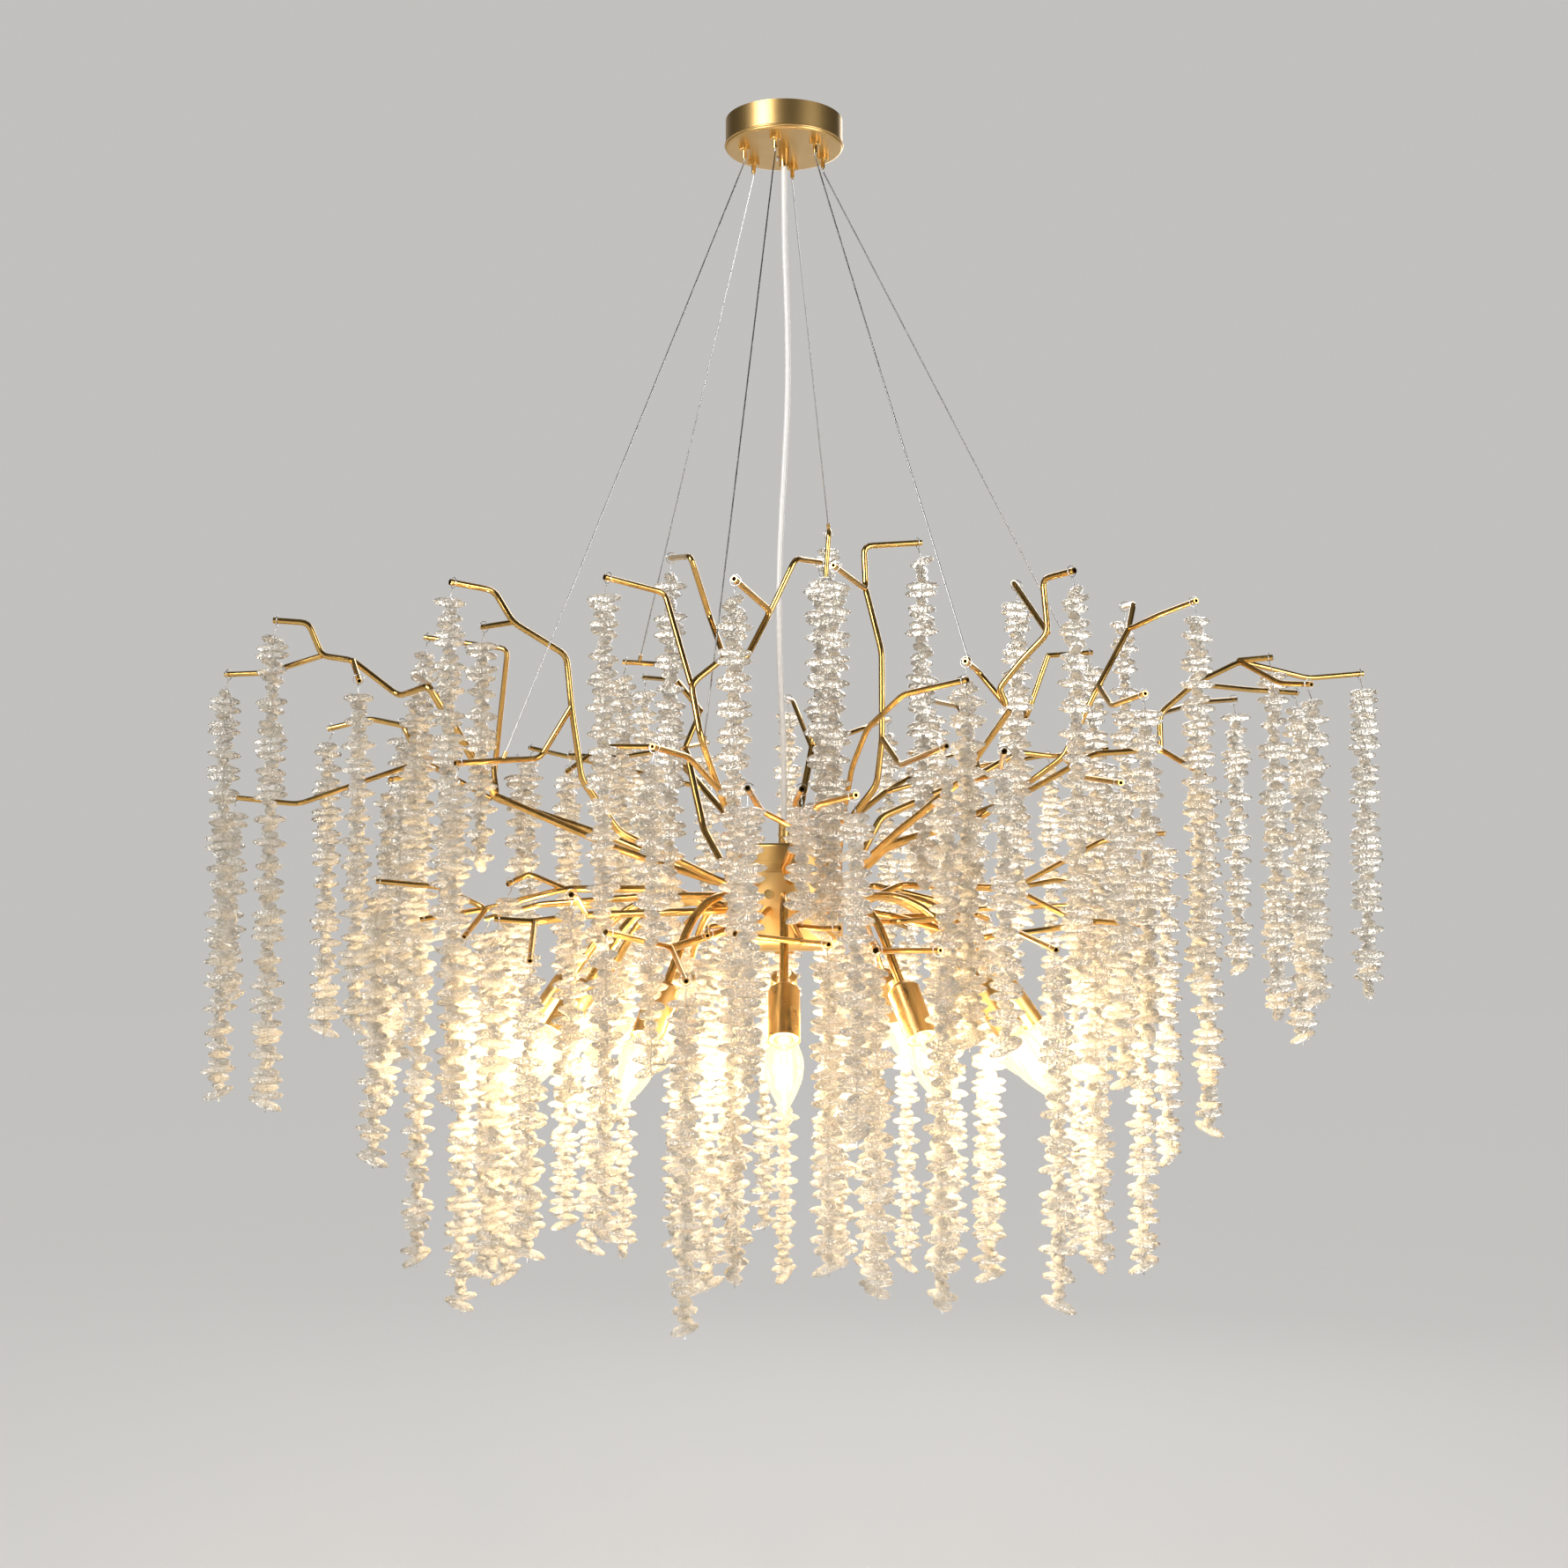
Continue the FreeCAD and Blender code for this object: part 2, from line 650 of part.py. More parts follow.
def settling_rods():
    """Everything that the settling keeps apart."""
    rods = []
    for name in BRANCHES:
        for tube_no, keys in enumerate(branch_keys(name)):
            length = strand_length(name, tube_no)
            for i in range(len(keys) - 1):
                radius = stretch_radius(tube_no, i + 1)
                if i == len(keys) - 2 and length:
                    radius = EYE_R + EYE_WIRE_R
                ends = [((0, 0, 0), [(keys[i], 1.0)]), ((0, 0, 0), [(keys[i + 1], 1.0)])]
                rods.append(rod_between(ends, radius, TUBE_GAP / 2, "tube", {keys[i], keys[i + 1]}))
            if length:
                ends = [((0, 0, -z), [(keys[-1], 1.0)]) for z in (STRAND_TOP_DROP, length)]
                rods.append(rod_between(ends, CRYSTAL_L / 2, STRAND_GAP / 2, "strand", {keys[-1]}))
    for number, (name, tube_no, stretch_no, share) in enumerate(WIRE_FEET):
        keys = branch_keys(name)[tube_no]
        leads = [(keys[stretch_no], 1.0 - share), (keys[stretch_no + 1], share)]
        ends = [(tuple(gripper_points(-CANOPY_H)[number]), []), ((0, 0, 0), leads)]
        held = {key for key, lead in leads if lead}
        rods.append(rod_between(ends, WIRE_R, WIRE_GAP, "wire", held))
    for start, end, radius in fixed_rods():
        rods.append(rod_between([(tuple(start), []), (tuple(end), [])], radius, TUBE_GAP / 2, "fixed"))
    return rods


def settle_branches():
    """The branch points' places after they have moved until nothing is nearer than its gap."""
    places = planned_places()
    rods = settling_rods()
    for sweep in range(SETTLE_SWEEPS):
        spans = [[follow(places, end) for end in rod["ends"]] for rod in rods]
        boxes = []
        for rod, (a, b) in zip(rods, spans):
            grow = rod["radius"] + rod["gap"]
            boxes.append([(min(p, q) - grow, max(p, q) + grow) for p, q in zip(a, b)])
        order = sorted(range(len(rods)), key=lambda k: boxes[k][0][0])
        worst = 0.0
        for at, first in enumerate(order):
            for second in order[at + 1:]:
                if boxes[second][0][0] > boxes[first][0][1]:
                    break
                worst = max(worst, push_apart(places, rods, boxes, first, second))
        if worst < SETTLE_ENOUGH:
            break
    print("branches settled after %d sweeps, worst %.2f" % (sweep + 1, worst))
    return places


def push_apart(places, rods, boxes, first, second):
    """Push two rods apart if they are too near, and return by how much they were."""
    one, two = rods[first], rods[second]
    kinds = (one["kind"], two["kind"])
    if "strand" not in kinds and one["owner"] & two["owner"]:
        return 0.0
    if kinds[0] in ("fixed", "wire") and kinds[1] in ("fixed", "wire"):
        return 0.0
    for (low, high), (other_low, other_high) in zip(boxes[first][1:], boxes[second][1:]):
        if low > other_high or other_low > high:
            return 0.0
    a, b = (follow(places, end) for end in one["ends"])
    c, d = (follow(places, end) for end in two["ends"])
    s, t = nearest_shares(a, b, c, d)
    apart = [c[k] + (d[k] - c[k]) * t - a[k] - (b[k] - a[k]) * s for k in range(3)]
    distance = math.sqrt(sum(value * value for value in apart))
    shortfall = one["radius"] + one["gap"] + two["radius"] + two["gap"] - distance
    if shortfall <= 0.0:
        return 0.0
    if distance < 1e-3:
        apart = [0.0, 1.0, 0.0]
        distance = 1.0
    away = [value / distance for value in apart]
    pulls = []
    for rod, shares, sign in ((one, (1 - s, s), -1), (two, (1 - t, t), 1)):
        for (_, leads), share in zip(rod["ends"], shares):
            for key, lead_share in leads:
                if key[1:] != (0, 0):
                    pulls.append((key, share * lead_share, sign))
    ease = sum(away[k] * away[k] * SETTLE_EASE[k] for k in range(3))
    weight = sum(share * share for _, share, _ in pulls) * ease
    if weight < 1e-6:
        return 0.0
    step = shortfall / weight
    for key, share, sign in pulls:
        for k in range(3):
            places[key][k] += sign * share * step * away[k] * SETTLE_EASE[k]
    return shortfall


PLACES = settle_branches()


# ---------------------------------------------------------------- canopy and its fittings
def set_screw_angles():
    """Plan angles of the canopy's set screws, level with the canopy's sides."""
    return [360.0 / SET_SCREW_COUNT * i for i in range(SET_SCREW_COUNT)]


def ceiling_bracket():
    """Pressed steel dish that is screwed to the ceiling and carries the canopy."""
    outer_r = CANOPY_R - CANOPY_WALL - BRACKET_GAP
    inner_r = outer_r - BRACKET_FLANGE_WALL
    dish = disc_stack([
        (BRACKET_WIRE_HOLE_R, 0), (outer_r, 0), (outer_r, -BRACKET_FLANGE_H),
        (inner_r, -BRACKET_FLANGE_H), (inner_r, -BRACKET_T), (BRACKET_WIRE_HOLE_R, -BRACKET_T),
    ])
    for i in range(CEILING_SCREW_COUNT):
        angle = CEILING_SCREW_PHASE + 360.0 / CEILING_SCREW_COUNT * i
        top = polar(CEILING_SCREW_PCD / 2, angle, 0)
        dish = dish.cut(cylinder(CEILING_SCREW_R, top, top - UP * BRACKET_T))
    for angle in set_screw_angles():
        bore = radial_rod(SET_SCREW_R, inner_r - CUT_PAST, outer_r + CUT_PAST, angle, SET_SCREW_Z)
        dish = dish.cut(bore)
    return [dish]


def canopy_cup():
    """Spun brass cup with a rolled bead round its lower edge and holes in its floor."""
    inner_r = CANOPY_R - CANOPY_WALL
    cup = disc_stack([
        (0, -CANOPY_H), (CANOPY_R, -CANOPY_H), (CANOPY_R, 0), (inner_r, 0),
        (inner_r, CANOPY_FLOOR_Z), (0, CANOPY_FLOOR_Z),
    ])
    cup = fillet_circle(cup, -CANOPY_H, CANOPY_R, CANOPY_CORNER_R)
    bead_z = -CANOPY_H + CANOPY_CORNER_R + RIM_BEAD_R
    cup = cup.fuse(Part.makeTorus(CANOPY_R, RIM_BEAD_R, Vector(0, 0, bead_z)))
    for point in gripper_points(-CANOPY_H):
        cup = cup.cut(cylinder(SHANK_R, point, point + UP * CANOPY_WALL))
    floor = Vector(0, 0, -CANOPY_H)
    cup = cup.cut(cylinder(GRIP_SHANK_R, floor, floor + UP * CANOPY_WALL))
    for angle in set_screw_angles():
        bore = radial_rod(SET_SCREW_R, inner_r - CUT_PAST, CANOPY_R + CUT_PAST, angle, SET_SCREW_Z)
        cup = cup.cut(bore)
    return [cup]


def canopy_set_screws():
    """Flush set screws that hold the canopy to the bracket's flange."""
    inner_r = CANOPY_R - CANOPY_WALL - BRACKET_GAP - BRACKET_FLANGE_WALL
    tip_r = inner_r - SET_SCREW_BITE
    face_r = math.sqrt(CANOPY_R ** 2 - SET_SCREW_R ** 2)
    return [radial_rod(SET_SCREW_R, tip_r, face_r, angle, SET_SCREW_Z) for angle in set_screw_angles()]


def gripper_collars():
    """Ribbed brass collars under the canopy, each with a threaded shank through its floor."""
    collars = []
    for point in gripper_points(-CANOPY_H):
        low = point - UP * COLLAR_H
        collar = cylinder(COLLAR_R, low, point)
        for rib_angle in (GRIPPER_PHASE, GRIPPER_PHASE + 90):
            rib = middle_box(2 * COLLAR_RIB_R, COLLAR_RIB_W, COLLAR_H, -COLLAR_RIB_R)
            rib.rotate(Vector(0, 0, 0), UP, rib_angle)
            rib.translate((low + point) / 2)
            collar = collar.fuse(rib)
        shank_top = point + UP * (CANOPY_WALL + SHANK_RISE)
        collar = collar.fuse(cylinder(SHANK_R, point, shank_top))
        collars.append(collar.cut(cylinder(WIRE_R, low, shank_top)))
    return collars


def gripper_nuts():
    """Nuts on the collars' shanks, on the canopy's floor."""
    points = gripper_points(CANOPY_FLOOR_Z)
    return [hex_nut(SHANK_R + NUT_WALL, SHANK_R, NUT_H, point) for point in points]


def gripper_nipples():
    """Small release nipples below the collars, round the wires."""
    nipples = []
    for point in gripper_points(-CANOPY_H - COLLAR_H):
        low = point - UP * NIPPLE_L
        nipples.append(cylinder(NIPPLE_R, low, point).cut(cylinder(WIRE_R, low, point)))
    return nipples


def wire_stops():
    """Crimped stops on the wires' upper ends, above the shanks."""
    stops = []
    for point in gripper_points(CANOPY_FLOOR_Z + SHANK_RISE):
        stops.append(cylinder(WIRE_STOP_R, point, point + UP * WIRE_STOP_L))
    return stops


def wire_foot(name, tube_no, stretch_no, share):
    """The point on a tube's axis where a suspension wire's ferrule is brazed."""
    keys = branch_keys(name)[tube_no]
    start = Vector(*PLACES[keys[stretch_no]])
    end = Vector(*PLACES[keys[stretch_no + 1]])
    return start + (end - start) * share


def wire_route(number):
    """A suspension wire's path: down through its gripper, round a small bend, then taut."""
    top = gripper_points(CANOPY_FLOOR_Z + SHANK_RISE)[number]
    bend = Vector(top.x, top.y, -CANOPY_H - COLLAR_H - NIPPLE_L - WIRE_BEND_DROP)
    foot = wire_foot(*WIRE_FEET[number])
    foot_top = foot + unit(bend - foot) * WIRE_FOOT_L
    return top, bend, foot_top, foot


def suspension_wires():
    """Six taut steel wires from the grippers to the branches."""
    wires = []
    for number in range(GRIPPER_COUNT):
        top, bend, foot_top, _ = wire_route(number)
        wires.append(route_tube([top, bend, foot_top], [WIRE_BEND_R], WIRE_R))
    return wires


def wire_feet():
    """Brass ferrules brazed on the branches, one for each wire's lower end."""
    feet = []
    for number in range(GRIPPER_COUNT):
        _, _, foot_top, foot = wire_route(number)
        branch_name = WIRE_FEET[number][0]
        ferrule = cylinder(WIRE_FOOT_R, foot, foot_top)
        for core in BRANCH_CORES[branch_name].values():
            if core.distToShape(ferrule)[0] < TOUCHING:
                ferrule = ferrule.cut(core)
        feet.append(largest_solid(ferrule))
    return feet


def cord_grip():
    """Tapered brass grip that the power cable comes out of, with its threaded shank."""
    body = disc_stack([
        (CABLE_R, GRIP_TIP_Z), (GRIP_TIP_R, GRIP_TIP_Z), (GRIP_TOP_R, -CANOPY_H),
        (GRIP_SHANK_R, -CANOPY_H), (GRIP_SHANK_R, CANOPY_FLOOR_Z + GRIP_SHANK_RISE),
        (CABLE_R, CANOPY_FLOOR_Z + GRIP_SHANK_RISE),
    ])
    z = GRIP_TIP_Z + GRIP_L / 2
    outside = Vector(-GRIP_TOP_R - CUT_PAST, 0, z)
    return [body.cut(cylinder(GRIP_SCREW_R, outside, Vector(-CABLE_R, 0, z)))]


def cord_grip_nut():
    """Nut on the grip's shank, on the canopy's floor."""
    floor = Vector(0, 0, CANOPY_FLOOR_Z)
    return [hex_nut(GRIP_SHANK_R + NUT_WALL, GRIP_SHANK_R, NUT_H, floor)]


def cord_grip_screw():
    """Side screw that clamps the cable in the grip."""
    z = GRIP_TIP_Z + GRIP_L / 2
    head_face = -GRIP_TOP_R - GRIP_SCREW_HEAD_H
    shank = cylinder(GRIP_SCREW_R, Vector(-GRIP_TOP_R, 0, z), Vector(-CABLE_R - GRIP_SCREW_SHORT, 0, z))
    head = cylinder(GRIP_SCREW_HEAD_R, Vector(head_face, 0, z), Vector(-GRIP_TOP_R, 0, z))
    slot = middle_box(GRIP_SCREW_HEAD_H / 2, 2 * GRIP_SCREW_HEAD_R, SCREW_SLOT_W, head_face)
    slot.translate(Vector(0, 0, z))
    return [shank.fuse(head).cut(slot)]


def cable_route():
    """The power cable's points from the grip's tip to the nipple on the hub, in a slight S."""
    steps = len(CABLE_SWAY) - 1
    height = GRIP_TIP_Z - CABLE_NIPPLE_TOP_Z
    return [Vector(sway, 0, GRIP_TIP_Z - height * i / steps) for i, sway in enumerate(CABLE_SWAY)]


def power_cable():
    """The free stretch of the power cable."""
    points = cable_route()
    radii = [cord_radius(*points[i - 1:i + 2]) for i in range(1, len(points) - 1)]
    path = route_wire(points, radii)
    length = path.Length
    cable = sweep_round(path, CABLE_R)
    fullness = cable.Volume / (math.pi * CABLE_R ** 2 * length)
    print("power cable: length %.1f, arc radii %s" % (length, [round(radius) for radius in radii]))
    print("power cable: volume / (section x length) = %.4f" % fullness)
    return [cable]


def cable_tails():
    """The cable's ends, inside the grip and canopy above and inside the nipple below."""
    upper = cylinder(CABLE_R, Vector(0, 0, GRIP_TIP_Z), Vector(0, 0, CABLE_END_Z))
    nipple_top = Vector(0, 0, CABLE_NIPPLE_TOP_Z)
    lower = cylinder(CABLE_R, nipple_top, nipple_top - UP * (CABLE_NIPPLE_H + CABLE_TAIL_L))
    return [upper, lower]


def terminal_block(top_z):
    """A three-way terminal block that hangs from a height."""
    length, width, height = TERMINAL_SIZE
    corner = Vector(TERMINAL_OFFSET, -width / 2, top_z - height)
    block = Part.makeBox(length, width, height, corner)
    for i in (-1, 0, 1):
        y = i * LEAD_SPACING
        z = corner.z + height / 2
        block = block.cut(cylinder(LEAD_R, Vector(corner.x, y, z), Vector(corner.x + length / 2, y, z)))
    return block


def terminal_blocks():
    """Terminal blocks under the ceiling bracket and under the hub's cover."""
    return [terminal_block(-BRACKET_T), terminal_block(HUB_TOP_Z - HUB_SHEET)]


def canopy_leads():
    """Three cores from the cable's upper end into the terminal block."""
    end_x = TERMINAL_OFFSET + TERMINAL_SIZE[0] / 2
    level = -BRACKET_T - TERMINAL_SIZE[2] / 2
    leads = []
    for i in (-1, 0, 1):
        start = Vector(0, i * LEAD_START_SPACING, CABLE_END_Z)
        corner = Vector(0, i * LEAD_START_SPACING, level)
        fan = Vector(LEAD_FAN_OFFSET, i * LEAD_SPACING, level)
        end = Vector(end_x, i * LEAD_SPACING, level)
        if i == 0:
            leads.append(route_tube([start, corner, end], [LEAD_BEND_R], LEAD_R))
        else:
            leads.append(route_tube([start, corner, fan, end], [LEAD_BEND_R, LEAD_BEND_R], LEAD_R))
    return leads


# ---------------------------------------------------------------- hub
def hub_cable_nipple():
    """Brass nipple on the hub where the power cable goes in, threaded on the rod."""
    top = Vector(0, 0, CABLE_NIPPLE_TOP_Z)
    low = Vector(0, 0, HUB_TOP_Z)
    nipple = cylinder(CABLE_NIPPLE_R, low, top).cut(cylinder(CABLE_R, low, top))
    return [nipple.cut(cylinder(ROD_R, low, low + UP * ROD_BITE))]


def hub_top_cover():
    """Spun cover on top of the hub's ring."""
    outer_r = HUB_R - COVER_INSET
    inner_r = outer_r - HUB_SHEET
    cover = disc_stack([
        (ROD_R, HUB_TOP_Z), (outer_r, HUB_TOP_Z), (outer_r, HUB_RING_TOP_Z),
        (inner_r, HUB_RING_TOP_Z), (inner_r, HUB_TOP_Z - HUB_SHEET), (ROD_R, HUB_TOP_Z - HUB_SHEET),
    ])
    return [fillet_circle(cover, HUB_TOP_Z, outer_r, min(COVER_CORNER_R, COVER_H / 3))]


def hub_ring():
    """Thick brass ring with a socket for each tube."""
    ring = disc_stack([
        (HUB_R - RING_WALL, HUB_RING_LOW_Z), (HUB_R, HUB_RING_LOW_Z),
        (HUB_R, HUB_RING_TOP_Z), (HUB_R - RING_WALL, HUB_RING_TOP_Z),
    ])
    sockets = [(branch["angle"], branch_root_z(branch), ROOT_TUBE_R) for branch in BRANCHES.values()]
    sockets += [(360.0 / LAMP_COUNT * i, ARM_ROOT_Z, ARM_R) for i in range(LAMP_COUNT)]
    sockets += [(CROSSBAR_ANGLE + turn, hub_screw_z(), HUB_SCREW_R) for turn in (0, 180)]
    for angle, z, radius in sockets:
        inner_r = HUB_R - RING_WALL - CUT_PAST
        ring = ring.cut(radial_rod(radius, inner_r, HUB_R + CUT_PAST, angle, z))
    return [ring]


def hub_bowl():
    """Spun bowl below the hub's ring."""
    outer_r = HUB_R - BOWL_INSET
    inner_r = outer_r - HUB_SHEET
    bowl = disc_stack([
        (0, HUB_LOW_Z), (outer_r, HUB_LOW_Z), (outer_r, HUB_RING_LOW_Z),
        (0, HUB_RING_LOW_Z),
    ])
    bowl = fillet_circle(bowl, HUB_LOW_Z, outer_r, BOWL_CORNER_R)
    hollow = disc_stack([
        (0, HUB_LOW_Z + HUB_SHEET), (inner_r, HUB_LOW_Z + HUB_SHEET), (inner_r, HUB_RING_LOW_Z),
        (0, HUB_RING_LOW_Z),
    ])
    hollow = fillet_circle(hollow, HUB_LOW_Z + HUB_SHEET, inner_r, BOWL_CORNER_R - HUB_SHEET)
    low = Vector(0, 0, HUB_LOW_Z)
    return [bowl.cut(hollow).cut(cylinder(ROD_R, low, low + UP * HUB_SHEET))]


def hub_screw_z():
    """Height of the hub's side screws and crossbar, level with the ring's middle."""
    return HUB_RING_TOP_Z - RING_H / 2


def hub_crossbar():
    """Square bar across the ring, with tapped ends for the side screws."""
    reach = HUB_R - RING_WALL
    bar = middle_box(2 * reach, CROSSBAR_W, CROSSBAR_W, -reach)
    bottom = Vector(0, 0, -CROSSBAR_W / 2)
    bar = bar.common(Part.makeCylinder(reach, CROSSBAR_W, bottom))
    bar = bar.cut(Part.makeCylinder(ROD_R, CROSSBAR_W, bottom))
    for turn in (0, 180):
        bar = bar.cut(radial_rod(HUB_SCREW_R, reach - HUB_SCREW_BITE, reach + CUT_PAST, turn, 0))
    bar.rotate(Vector(0, 0, 0), UP, CROSSBAR_ANGLE)
    bar.translate(Vector(0, 0, hub_screw_z()))
    return [bar]


def hub_screws():
    """Slotted round-head screws through the ring into the crossbar."""
    face_r = HUB_R + HUB_SCREW_HEAD_H
    head = radial_rod(HUB_SCREW_HEAD_R, HUB_R - CUT_PAST, face_r, 0, 0)
    head = head.cut(Part.makeCylinder(HUB_R, RING_H, Vector(0, 0, -RING_H / 2)))
    shank_r = HUB_R - RING_WALL - HUB_SCREW_BITE
    shank = radial_rod(HUB_SCREW_R, shank_r, HUB_R + HUB_SCREW_HEAD_H / 2, 0, 0)
    slot_x = face_r - HUB_SCREW_HEAD_H / 2
    slot = middle_box(HUB_SCREW_HEAD_H, 2 * HUB_SCREW_HEAD_R, SCREW_SLOT_W, slot_x)
    screw = shank.fuse(head).cut(slot)
    screw.translate(Vector(0, 0, hub_screw_z()))
    return spin_copies(screw, 2, CROSSBAR_ANGLE)


def hub_rod():
    """Hollow threaded rod that clamps cover, ring and bowl together."""
    low = Vector(0, 0, HUB_LOW_Z - NUT_H)
    top = Vector(0, 0, HUB_TOP_Z + ROD_BITE)
    return [cylinder(ROD_R, low, top).cut(cylinder(ROD_BORE_R, low, top))]


def hub_rod_nut():
    """Low nut under the bowl."""
    return [hex_nut(ROD_NUT_R, ROD_R, NUT_H, Vector(0, 0, HUB_LOW_Z - NUT_H))]


# ---------------------------------------------------------------- branch tubes
def branch_paths(name):
    """The branch's tubes as lists of points, the main tube first and then its twigs."""
    plan = BRANCHES[name]
    paths = [[Vector(*PLACES[key]) for key in keys] for keys in branch_keys(name)]
    paths[0].insert(0, polar(HUB_R - SOCKET_DEPTH, plan["angle"], branch_root_z(plan)))
    return paths


def mitred_rod(start, end, radius, before=None, after=None):
    """A round rod from start to end, mitred where it meets the rods from before and to after."""
    along = unit(end - start)
    reach = {}
    for key, other in (("start", before), ("end", after)):
        reach[key] = 0.0
        if other is not None:
            corner = start if key == "start" else end
            turn = math.pi - (other - corner).getAngle(along * (1 if key == "start" else -1))
            reach[key] = radius * math.tan(turn / 2) + CUT_PAST
    rod = cylinder(radius, start - along * reach["start"], end + along * reach["end"])
    for key, other in (("start", before), ("end", after)):
        if other is None:
            continue
        corner = start if key == "start" else end
        inward = along if key == "start" else along * -1
        normal = unit(inward - unit(other - corner))
        size = 4 * (radius + reach[key])
        waste = Part.makeCylinder(size, size, corner, normal * -1)
        rod = rod.cut(waste)
    return rod


def largest_solid(shape):
    """The biggest solid of a shape that a cut may have left in several."""
    return max(shape.Solids, key=lambda solid: solid.Volume)


def branch_solids(name):
    """The branch's tube stretches as separate solids, brazed end to end and at the forks.

    Also returns the stretches without their bores, by tube and stretch."""
    tubes = []
    cores = {}
    twigs = BRANCHES[name]["twigs"]
    for tube_no, path in enumerate(branch_paths(name)):
        for i in range(len(path) - 1):
            radius = stretch_radius(tube_no, i)
            start, end = path[i], path[i + 1]
            before = path[i - 1] if i > 0 else None
            after = path[i + 2] if i + 2 < len(path) else None
            rod = mitred_rod(start, end, radius, before, after)
            bore = mitred_rod(start, end, radius - TUBE_WALL, before, after)
            if tube_no and i == 0:
                fork = twigs[tube_no - 1][0]
                beside = [(0, fork + 1), (0, fork + 2)]
                beside += [(other + 1, 0) for other in range(tube_no - 1) if twigs[other][0] == fork]
                for key in beside:
                    if key in cores:
                        rod = largest_solid(rod.cut(cores[key]))
            cores[(tube_no, i)] = rod
            tubes.append(largest_solid(rod.cut(bore)))
    return tubes, cores


# ---------------------------------------------------------------- lamps
def place_lamp_piece(solid, number):
    """Put a piece, made hanging straight down from the origin, on its lamp's axis."""
    placed = solid.copy()
    placed.rotate(Vector(0, 0, 0), Vector(0, 1, 0), -LAMP_TILT)
    placed.translate(lamp_top())
    placed.rotate(Vector(0, 0, 0), UP, 360.0 / LAMP_COUNT * number)
    return placed


def lamp_arms():
    """Curved tubes from the ring to the sleeves."""
    path = lamp_arm_wire()
    return spin_copies(sweep_round(path, ARM_R).cut(sweep_round(path, ARM_BORE_R)), LAMP_COUNT)


def lamp_sleeves():
    """Brass cups with a sloping shoulder over the lampholders."""
    inner_r = SLEEVE_R - SLEEVE_WALL
    sleeve = disc_stack([
        (ARM_BORE_R, 0), (SLEEVE_R - SLEEVE_SHOULDER, 0), (SLEEVE_R, -SLEEVE_SHOULDER),
        (SLEEVE_R, -SLEEVE_L), (inner_r, -SLEEVE_L), (inner_r, -SLEEVE_SHOULDER - SLEEVE_WALL),
        (inner_r - SLEEVE_SHOULDER, -SLEEVE_WALL), (ARM_BORE_R, -SLEEVE_WALL),
    ])
    return [place_lamp_piece(sleeve, i) for i in range(LAMP_COUNT)]


def lampholders():
    """Candle lampholders inside the sleeves, each with a socket for a bulb's screw cap."""
    mouth = -SLEEVE_L + HOLDER_INSET
    socket_r = CAP_R + CAP_CLEARANCE
    holder = disc_stack([
        (ARM_BORE_R, -SLEEVE_WALL), (HOLDER_STEM_R, -SLEEVE_WALL), (HOLDER_STEM_R, mouth + HOLDER_L),
        (HOLDER_R, mouth + HOLDER_L), (HOLDER_R, mouth), (socket_r, mouth),
        (socket_r, mouth + CAP_L + CAP_HEADROOM), (ARM_BORE_R, mouth + CAP_L + CAP_HEADROOM),
    ])
    return [place_lamp_piece(holder, i) for i in range(LAMP_COUNT)]


def bulb(number):
    """Clear candle bulb: pointed glass and a screw cap."""
    neck = -SLEEVE_L + HOLDER_INSET - CAP_CLEARANCE
    belly = neck - BULB_BELLY_AT
    tip = neck - BULB_L
    outline = [Vector(0, 0, neck), Vector(BULB_NECK_R, 0, neck)]
    side = Part.Arc(
        Vector(BULB_NECK_R, 0, neck),
        Vector(BULB_R, 0, belly),
        Vector(BULB_CONE_R, 0, tip + BULB_CONE_H),
    ).toShape()
    shoulder = side.Vertexes[-1].Point
    tip_rim = Vector(BULB_TIP_R, 0, tip + BULB_TIP_H)
    edges = [
        Part.LineSegment(outline[0], outline[1]).toShape(),
        side,
        Part.LineSegment(shoulder, tip_rim).toShape(),
        Part.LineSegment(tip_rim, Vector(0, 0, tip)).toShape(),
        Part.LineSegment(Vector(0, 0, tip), outline[0]).toShape(),
    ]
    glass = Part.Face(Part.Wire(edges)).revolve(Vector(0, 0, 0), UP, 360)
    cap = Part.makeCylinder(CAP_R, CAP_L, Vector(0, 0, neck))
    return [place_lamp_piece(glass, number), place_lamp_piece(cap, number)]


# ---------------------------------------------------------------- crystal strands
def strand(before_tip, tip, length):
    """One strand: wire eye round the twig's end, stem, and a column of threaded crystals."""
    along = unit(tip - before_tip)
    centre = tip - along * EYE_SETBACK
    down = unit(along * along.z - UP)
    eye = Part.makeTorus(EYE_R, EYE_WIRE_R, centre, along)
    stem_top = centre + down * EYE_R
    column_top = Vector(tip.x, tip.y, stem_top.z - STEM_L)
    height = column_top.z - tip.z + length
    rows = round(height / CRYSTAL_ROW)
    row_h = height / rows
    profile = [(0.0, 0.0), (STRAND_CORE_R, 0.0)]
    for row in range(rows):
        profile.append((CRYSTAL_L / 2, -row_h * (row + 0.5)))
        profile.append((STRAND_CORE_R, -row_h * (row + 1)))
    profile.append((0.0, -height))
    column = disc_stack(profile)
    column.translate(column_top)
    stem = cylinder(STEM_R, stem_top, column_top - UP * STEM_R)
    return eye.fuse([stem, column])


def strand_group(branch_names):
    """The strands that hang from a few neighbouring branches."""
    strands = []
    for name in branch_names:
        for tube_no, path in enumerate(branch_paths(name)):
            length = strand_length(name, tube_no)
            if length:
                strands.append(strand(path[-2], path[-1], length))
    return strands


